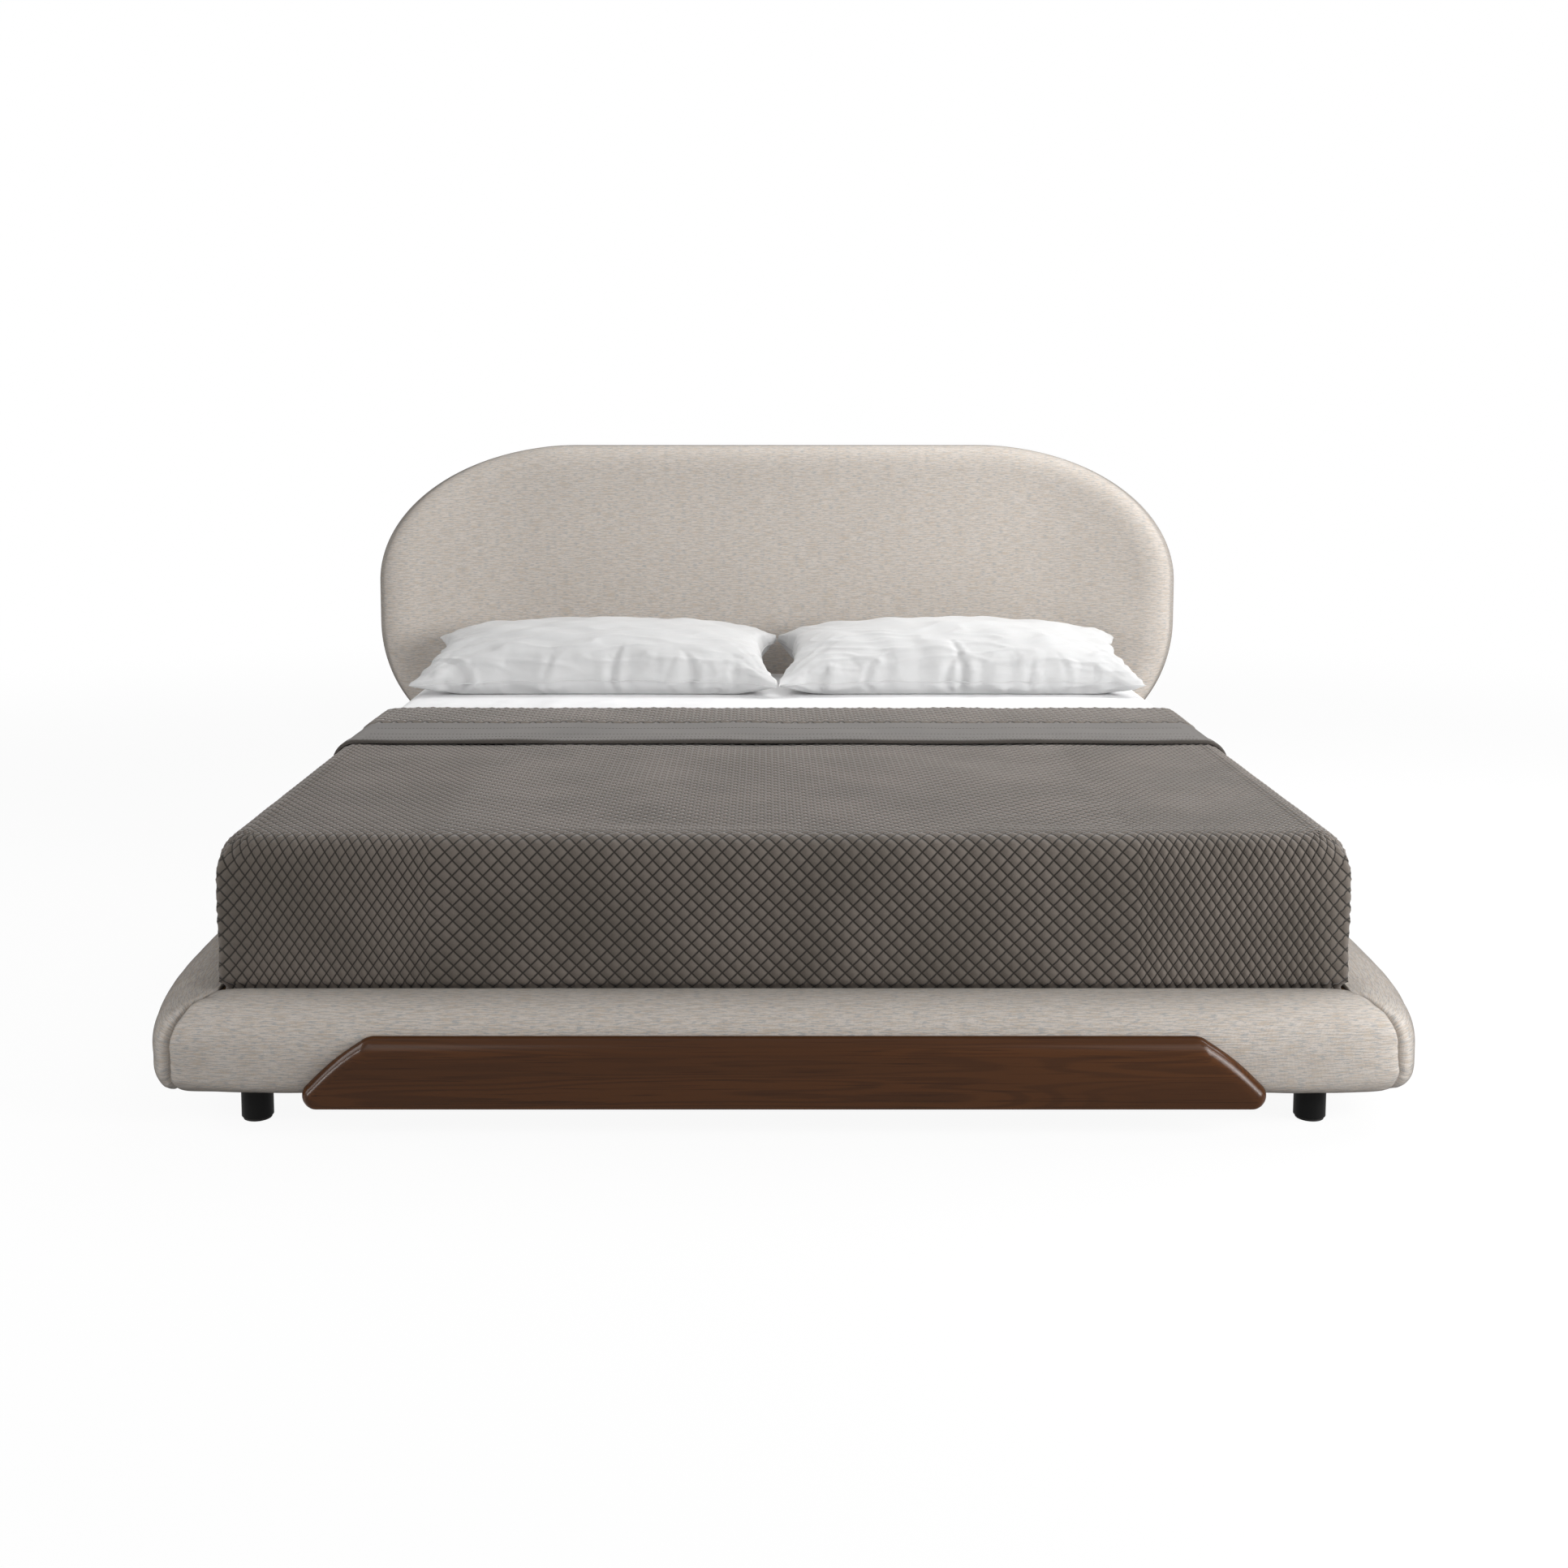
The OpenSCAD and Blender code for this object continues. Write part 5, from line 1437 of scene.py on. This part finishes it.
class BED_OT_coverlet(bpy.types.Operator):
    """Makes the quilted coverlet, its turned-down band and its stitches"""
    bl_idname = "bed.coverlet"
    bl_label = "Coverlet"

    def execute(self, context):
        sizes = context.scene.bed_sizes
        looks = context.scene.bed_colours
        quilt = once(quilted_cotton, "quilt")
        tree = quilting_tree()
        body = coverlet_body()
        tree.run_on(body, Puff=sizes.puff, Material=quilt)
        dress(body, quilt, "mattress", ("coverlet",))
        band, fold_line = band_piece()
        tree.run_on(band, Puff=sizes.puff, Material=quilt)
        dress(band, quilt, "mattress")
        band.data.materials.append(once(plain_band, "plain_band"))
        for face in band.data.polygons:
            face.material_index = int(face.center.y < fold_line)
        across = even(-COVER_HALF + 0.06, COVER_HALF - 0.06, 0.02)
        rows = [[(x, FOLD_Y - row, COVERLET_HIGH.z) for x in across] for row in STITCH_ROWS]
        lines = [on_surface(band, row, STITCH_LIFT) for row in rows]
        thread = once(cotton, "dark_thread", dimmed(looks.quilt, 0.6), "Object")
        stitches("band_stitches", lines, thread, "mattress", "quilted_cotton",
                 Spacing=sizes.stitch, **BAND_STITCH)
        return {"FINISHED"}


# Pillows

def tilted(x, y, z):
    """Places in the bed's directions, from ones in a pillow's own frame"""
    y, z = y * PILLOW_COS - z * PILLOW_SIN, y * PILLOW_SIN + z * PILLOW_COS
    return np.stack([x, y, z], -1)


def pillow_point(a, b, side, rise):
    """Point of a pillow's surface from its square coordinates, from the pillow's centre"""
    full = np.maximum(0, (1 - a * a) * (1 - b * b)) ** PILLOW_FULL
    x = a * (PILLOW_HALF_W - PILLOW_DRAW_W * (1 - b * b))
    y = b * (PILLOW_HALF_D - PILLOW_DRAW_D * (1 - a * a))
    return tilted(x, y, side * rise * full)


def pillow_centre(side):
    """Place of a pillow's centre, from its CAD box"""
    a = np.linspace(-1, 1, 81)
    shape = np.concatenate([pillow_point(*np.meshgrid(a, a), s, rise).reshape(-1, 3)
                            for s, rise in ((1, PILLOW_CROWN), (-1, PILLOW_BELLY))])
    mid = (shape.min(0) + shape.max(0)) / 2
    box_mid = (np.array(PILLOW_LOW) + np.array(PILLOW_HIGH)) / 2
    return (box_mid - mid) * [side, 1, 1]


def pillow_start(name, place):
    """Closed start form of a pillow, slacker than it will be once its cloth is simulated"""
    share = np.sin(np.linspace(-math.pi / 2, math.pi / 2, 91))
    shell = Shell()
    for face, rise in ((1, PILLOW_CROWN - SWELL_TOP), (-1, PILLOW_BELLY + SWELL_LOW)):
        points = pillow_point(*np.meshgrid(share, share), face, rise) + place
        shell.grid(points if face > 0 else points[:, ::-1], points[..., :2])
    return shell.build(name)


def inflate(piece, seed):
    """Places of a pillow's points under the pressure of its filling, from a simulation"""
    sizes = bpy.context.scene.bed_sizes
    remesh = piece.modifiers.new("even_faces", "REMESH")
    remesh.mode = "VOXEL"
    remesh.voxel_size = sizes.voxel
    apply_modifiers(piece)
    start = vectors(piece.data)
    cloth = piece.modifiers.new("filling", "CLOTH")
    cloth.collision_settings.use_collision = False
    settings = cloth.settings
    settings.use_pressure = True
    settings.uniform_pressure_force = sizes.pressure
    settings.effector_weights.gravity = 0
    settings.quality = 4
    settings.mass = 0.25
    settings.tension_stiffness = settings.compression_stiffness = 12
    settings.shear_stiffness = 4
    settings.bending_stiffness = 0.25
    settings.shrink_min = settings.shrink_max = -0.045
    nudge = np.random.default_rng(seed).normal(0, 0.0002, start.shape)
    move_points(piece.data, start + nudge)
    scene = bpy.context.scene
    for step in range(1, sizes.steps + 1):
        scene.frame_set(step)
    graph = bpy.context.evaluated_depsgraph_get()
    move = vectors(piece.evaluated_get(graph).data) - start
    piece.modifiers.clear()
    scene.frame_set(1)
    far = np.linalg.norm(move, axis=-1, keepdims=True)
    cap = sizes.pillow_cap
    held = np.where(far > 1e-9, cap * np.tanh(far / cap) / np.maximum(far, 1e-9), 0)
    return start + move * held


def rest_on_sheet(co):
    """Flattens the underside where it lies on the sheet, and keeps clear of the other pillow"""
    side = 1 if co[:, 0].mean() > 0 else -1
    co[:, 2] = np.maximum(co[:, 2], SHEET_HIGH.z + 0.0006)
    co[:, 0] = side * np.maximum(side * co[:, 0], PILLOW_LOW.x - 0.004)
    co[:, 1] = np.minimum(co[:, 1], PILLOW_HIGH.y + 0.018)
    return co


def pillow_frame(co, place):
    """Places in the pillow's own frame: across, towards the head and up from its seam"""
    x, y, z = (co - place).T
    return x, y * PILLOW_COS + z * PILLOW_SIN, z * PILLOW_COS - y * PILLOW_SIN


def from_corners(x, y):
    """For each corner of a pillow, its signs and how far each point is from it both ways"""
    return [(sx, sy, PILLOW_HALF_W - sx * x, PILLOW_HALF_D - sy * y)
            for sx in (-1, 1) for sy in (-1, 1)]


def pillow_creases(co, place, seed, folds):
    """How far each point of a pillow stands out by its creases: rays from the corners, gathers
    along the edges, soft broad waves, and a few short folds at the front edge"""
    x, y, z = pillow_frame(co, place)
    rise = np.zeros(len(co))
    chance = np.random.default_rng(seed)
    for _, _, far_x, far_y in from_corners(x, y):
        far, turn = np.hypot(far_x, far_y), np.arctan2(far_y, far_x)
        bends = 2.5 * unevenness(far, turn, 0.4, seed + 7)
        rays = np.sin(turn * chance.uniform(15, 21) + bends)
        rise += 0.0038 * rays * np.exp(-far / 0.13) * smooth(far / 0.06)
    for away, along, size in ((PILLOW_HALF_W - np.abs(x), y, 0.034),
                              (PILLOW_HALF_D - np.abs(y), x, 0.045)):
        gather = unevenness(along, away * 0.3, size, seed + 11, 14)
        rise += 0.0042 * gather * np.exp(-np.maximum(away, 0) / 0.045) * smooth(away / 0.012)
    ridge = np.abs(unevenness(x * 0.4, y + z, 0.085, seed + 17, 12))
    rise += 0.005 * (np.maximum(1 - 2 * ridge, 0) - 0.3) * smooth((0.1 - y) / 0.2)
    rise += 0.0044 * unevenness(x, y * 1.6, 0.15, seed + 19)
    past = y + PILLOW_HALF_D
    for at, lean, depth, long in folds:
        front = smooth((long - past) / long)
        width = 0.004 + 0.009 * front
        off = x - at - lean * past - 3 * lean * past * past
        rise -= depth * np.exp(-(off / width) ** 2) * front
        rise += 0.7 * depth * np.exp(-((off - 2.2 * width) / (1.5 * width)) ** 2) * front
    return rise * smooth((z + 0.045) / 0.03)


def pillow_tips(co, place):
    """Draws the four corners of a pillow out to flat tips"""
    x, y, z = pillow_frame(co, place)
    moved = co.copy()
    for sx, sy, far_x, far_y in from_corners(x, y):
        far = np.hypot(far_x, far_y)
        pull = 0.013 * np.exp(-(far / 0.05) ** 2)
        moved += tilted(sx * pull, sy * pull, -0.45 * z * np.exp(-(far / 0.06) ** 2))
    return moved


def pillow_piece(name, place, seed, folds):
    """Pillow with simulated cloth, creased and smoothed once"""
    piece = pillow_start(name, place)
    co = inflate(piece, seed)
    move_points(piece.data, co)
    piece.data.update()
    creases = pillow_creases(co, place, seed, folds)[:, None]
    co = co + vectors(piece.data, "normal") * creases
    move_points(piece.data, rest_on_sheet(pillow_tips(co, place)))
    smoother = piece.modifiers.new("smooth", "SUBSURF")
    smoother.levels = smoother.render_levels = 1
    apply_modifiers(piece)
    clean(piece.data)
    return piece


def pillow_seam(place):
    """Line along a pillow's edge, where its two faces meet"""
    t = np.linspace(-1, 1, 90)
    one = np.ones_like(t)
    a = np.concatenate([one, -t, -one, t])
    b = np.concatenate([t, one, -t, -one])
    return pillow_point(a, b, 1, 0.0) + place


def spaced(line, gap):
    """Line without the points that lie closer than a gap to the one before"""
    keep = [0]
    for k in range(1, len(line)):
        if np.linalg.norm(line[k] - line[keep[-1]]) > gap:
            keep.append(k)
    return line[keep]


def tube(name, line, radius, sides=8):
    """Closed tube along a closed line of points"""
    ahead = unit(np.roll(line, -1, axis=0) - np.roll(line, 1, axis=0))
    side = unit(np.cross(ahead, [0, 0, 1]))
    rise = np.cross(side, ahead)
    turn = np.linspace(0, 2 * math.pi, sides + 1)
    rings = line[:, None] + radius * (side[:, None] * np.cos(turn)[None, :, None]
                                      + rise[:, None] * np.sin(turn)[None, :, None])
    along = steps_along(np.concatenate([line, line[:1]]))
    shell = Shell()
    shell.grid(np.concatenate([rings, rings[:1]]), pairs(along[:, None], (turn * radius)[None]))
    return shell.build(name)


class BED_OT_pillows(bpy.types.Operator):
    """Makes the two pillows with their seams and stitches"""
    bl_idname = "bed.pillows"
    bl_label = "Pillows"

    def execute(self, context):
        looks = context.scene.bed_colours
        sizes = context.scene.bed_sizes
        # The pillows' cotton is darker than the sheet's white cotton, as painted shade
        white = once(cotton, "pillow_cotton", looks.pillow, "Object")
        for word, side, seed in (("left", -1, 101), ("right", 1, 202)):
            place = pillow_centre(side)
            body = f"pillow_{word}"
            piece = pillow_piece(f"{body}_cushion", place, seed, FRONT_FOLDS[word])
            dress(piece, white, body,
                  (f"pillow_case_{word}", f"pillow_insert_{word}"))
            seam = pillow_seam(place)
            line = spaced(on_surface(piece, seam[::2], WELT_LIFT), 0.002)
            dress(tube(f"{body}_seam", line, WELT_R), white, body)
            inner = seam[::3]
            inner = inner + (place - inner) * [0.012, 0.025, 0] + [0, 0, 0.012]
            line = on_surface(piece, inner, STITCH_LIFT)
            stitches(f"{body}_stitches", [line], white, body, "white_cotton",
                     Spacing=sizes.stitch * PILLOW_STITCH_SHARE, **PILLOW_STITCH)
        return {"FINISHED"}


# Stage

def floor_finish(ground, bright):
    """Floor that shows plain white to the camera and to reflections, keeping some shadow"""
    look = Finish("floor", "Object")
    away = look.add("ShaderNodeVectorMath", {0: look.place}, operation="LENGTH").outputs["Value"]
    share = look.scaled(look.ramp(away, 2.2, 6.0), 1 - bright, bright)
    direct, camera = look.direct()
    glow = look.add("ShaderNodeEmission", {"Color": (*WHITE, 1), "Strength": 1.0})
    part = look.maths("MULTIPLY", direct, share)
    shader = look.shader
    inputs = {"Base Color": look.blend(camera, ground, WHITE), "Roughness": 0.9, SPECULAR: 0.1}
    for key, value in inputs.items():
        look.give(shader, key, value)
    both = look.add("ShaderNodeMixShader", {0: part, 1: shader.outputs[0], 2: glow.outputs[0]})
    look.give(look.tree.nodes["Material Output"], "Surface", both.outputs[0])
    return look.material


def floor(ground):
    """Wide flat floor under the bed"""
    mesh = bpy.data.meshes.new("floor")
    far = 14
    corners = [(-far, -far, 0), (far, -far, 0), (far, far, 0), (-far, far, 0)]
    mesh.from_pydata(corners, [], [(0, 1, 2, 3)])
    mesh.materials.append(floor_finish(ground, 0.93))
    placed("floor", mesh)


def room(strength):
    """World that is white to the camera and to reflections, and lights the bed faintly"""
    world = bpy.data.worlds.new("room")
    bpy.context.scene.world = world
    world.use_nodes = True
    tree = Tree(world.node_tree)
    power = tree.add("ShaderNodeMix", {0: tree.direct()[0], 2: strength, 3: 1.0}).outputs[0]
    background = world.node_tree.nodes["Background"]
    tree.give(background, "Strength", power)
    tree.give(background, "Color", (*WHITE, 1))


def lamp(name, place, target, width, deep, power):
    """Area lamp that faces a point"""
    data = bpy.data.lights.new(name, "AREA")
    data.shape = "RECTANGLE"
    data.size, data.size_y = width, deep
    data.energy = power
    piece = placed(name, data)
    piece.location = place
    aim = Vector(target) - Vector(place)
    piece.rotation_euler = aim.to_track_quat("-Z", "Y").to_euler()


def photo_camera(stage):
    """Camera with the photograph's place, angle and framing"""
    data = bpy.data.cameras.new("camera")
    data.sensor_width = 36
    data.lens = PHOTO_FOCAL / PHOTO_SIZE * data.sensor_width
    data.shift_y = (PHOTO_AXIS_ROW - PHOTO_SIZE / 2) / PHOTO_SIZE
    far = stage.camera_y + OPEN_Y
    data.shift_x = -stage.camera_x * data.lens / data.sensor_width / far
    data.clip_end = 100
    camera = placed("camera", data)
    camera.location = (stage.camera_x, -stage.camera_y, stage.camera_z)
    down = math.atan((PHOTO_AXIS_ROW - PHOTO_HORIZON_ROW) / PHOTO_FOCAL)
    camera.rotation_euler = (math.pi / 2 - down, 0, 0)
    bpy.context.scene.camera = camera


class BED_OT_stage(bpy.types.Operator):
    """Makes the floor, the lamps, the room's light and the camera"""
    bl_idname = "bed.stage"
    bl_label = "Stage"

    def execute(self, context):
        stage = context.scene.bed_stage
        context.scene.view_settings.view_transform = "Standard"
        floor(stage.floor)
        room(stage.room_light)
        bed = (0.2, 0.1, 0.5)
        lamp("top_lamp", (0.6, 1.2, 2.9), (0.1, -0.2, 0.4), 2.4, 1.6, stage.top_light)
        lamp("key_lamp", (3.7, -2.2, 1.7), bed, 2.0, 1.6, stage.key_light)
        lamp("high_lamp", (3.4, 0.6, 2.6), bed, 2.0, 1.6, stage.high_light)
        lamp("left_lamp", (-4, -0.6, 1.8), (0, 0, 0.4), 1.6, 1.6, stage.left_light)
        for x in (-2.2, 2.4):
            lamp("front_lamp", (x, -3.8, 3.3), (0, -0.2, 0.4), 2.4, 1.8, stage.front_light)
        for word, side in (("left", -1), ("right", 1)):
            lamp(f"trim_lamp_{word}", (side * 3.6, -2.2, 1.4), (side * 0.7, -1.1, 0.1), 0.4, 1.2,
                 stage.trim_light)
        photo_camera(stage)
        return {"FINISHED"}


class BED_PT_panel(bpy.types.Panel):
    """Lists the bed's pieces, sizes and colours"""
    bl_label = "Bed"
    bl_idname = "BED_PT_panel"
    bl_space_type = "VIEW_3D"
    bl_region_type = "UI"
    bl_category = "Bed"

    def draw(self, context):
        layout = self.layout
        scene = context.scene
        for operator in OPERATORS:
            layout.operator(operator.bl_idname)
        for group in (scene.bed_sizes, scene.bed_colours, scene.bed_stage):
            for name in group.__annotations__:
                layout.prop(group, name)


GROUPS = {"bed_colours": BedColours, "bed_sizes": BedSizes, "bed_stage": StageSizes}
OPERATORS = (BED_OT_rails, BED_OT_headboard, BED_OT_trim, BED_OT_frame, BED_OT_mattress,
             BED_OT_coverlet, BED_OT_pillows, BED_OT_stage)
CLASSES = (*GROUPS.values(), *OPERATORS, BED_PT_panel)


def register():
    """Registers the classes and the scene's settings"""
    for entry in CLASSES:
        bpy.utils.register_class(entry)
    for name, group in GROUPS.items():
        setattr(bpy.types.Scene, name, PointerProperty(type=group))


def unregister():
    """Removes what register() added"""
    for name in GROUPS:
        delattr(bpy.types.Scene, name)
    for entry in reversed(CLASSES):
        bpy.utils.unregister_class(entry)


def main():
    """Makes the whole bed and its stage"""
    register()
    bpy.ops.bed.rails()
    bpy.ops.bed.headboard()
    bpy.ops.bed.trim()
    bpy.ops.bed.frame()
    bpy.ops.bed.mattress()
    bpy.ops.bed.coverlet()
    bpy.ops.bed.pillows()
    bpy.ops.bed.stage()


if __name__ == "__main__":
    main()
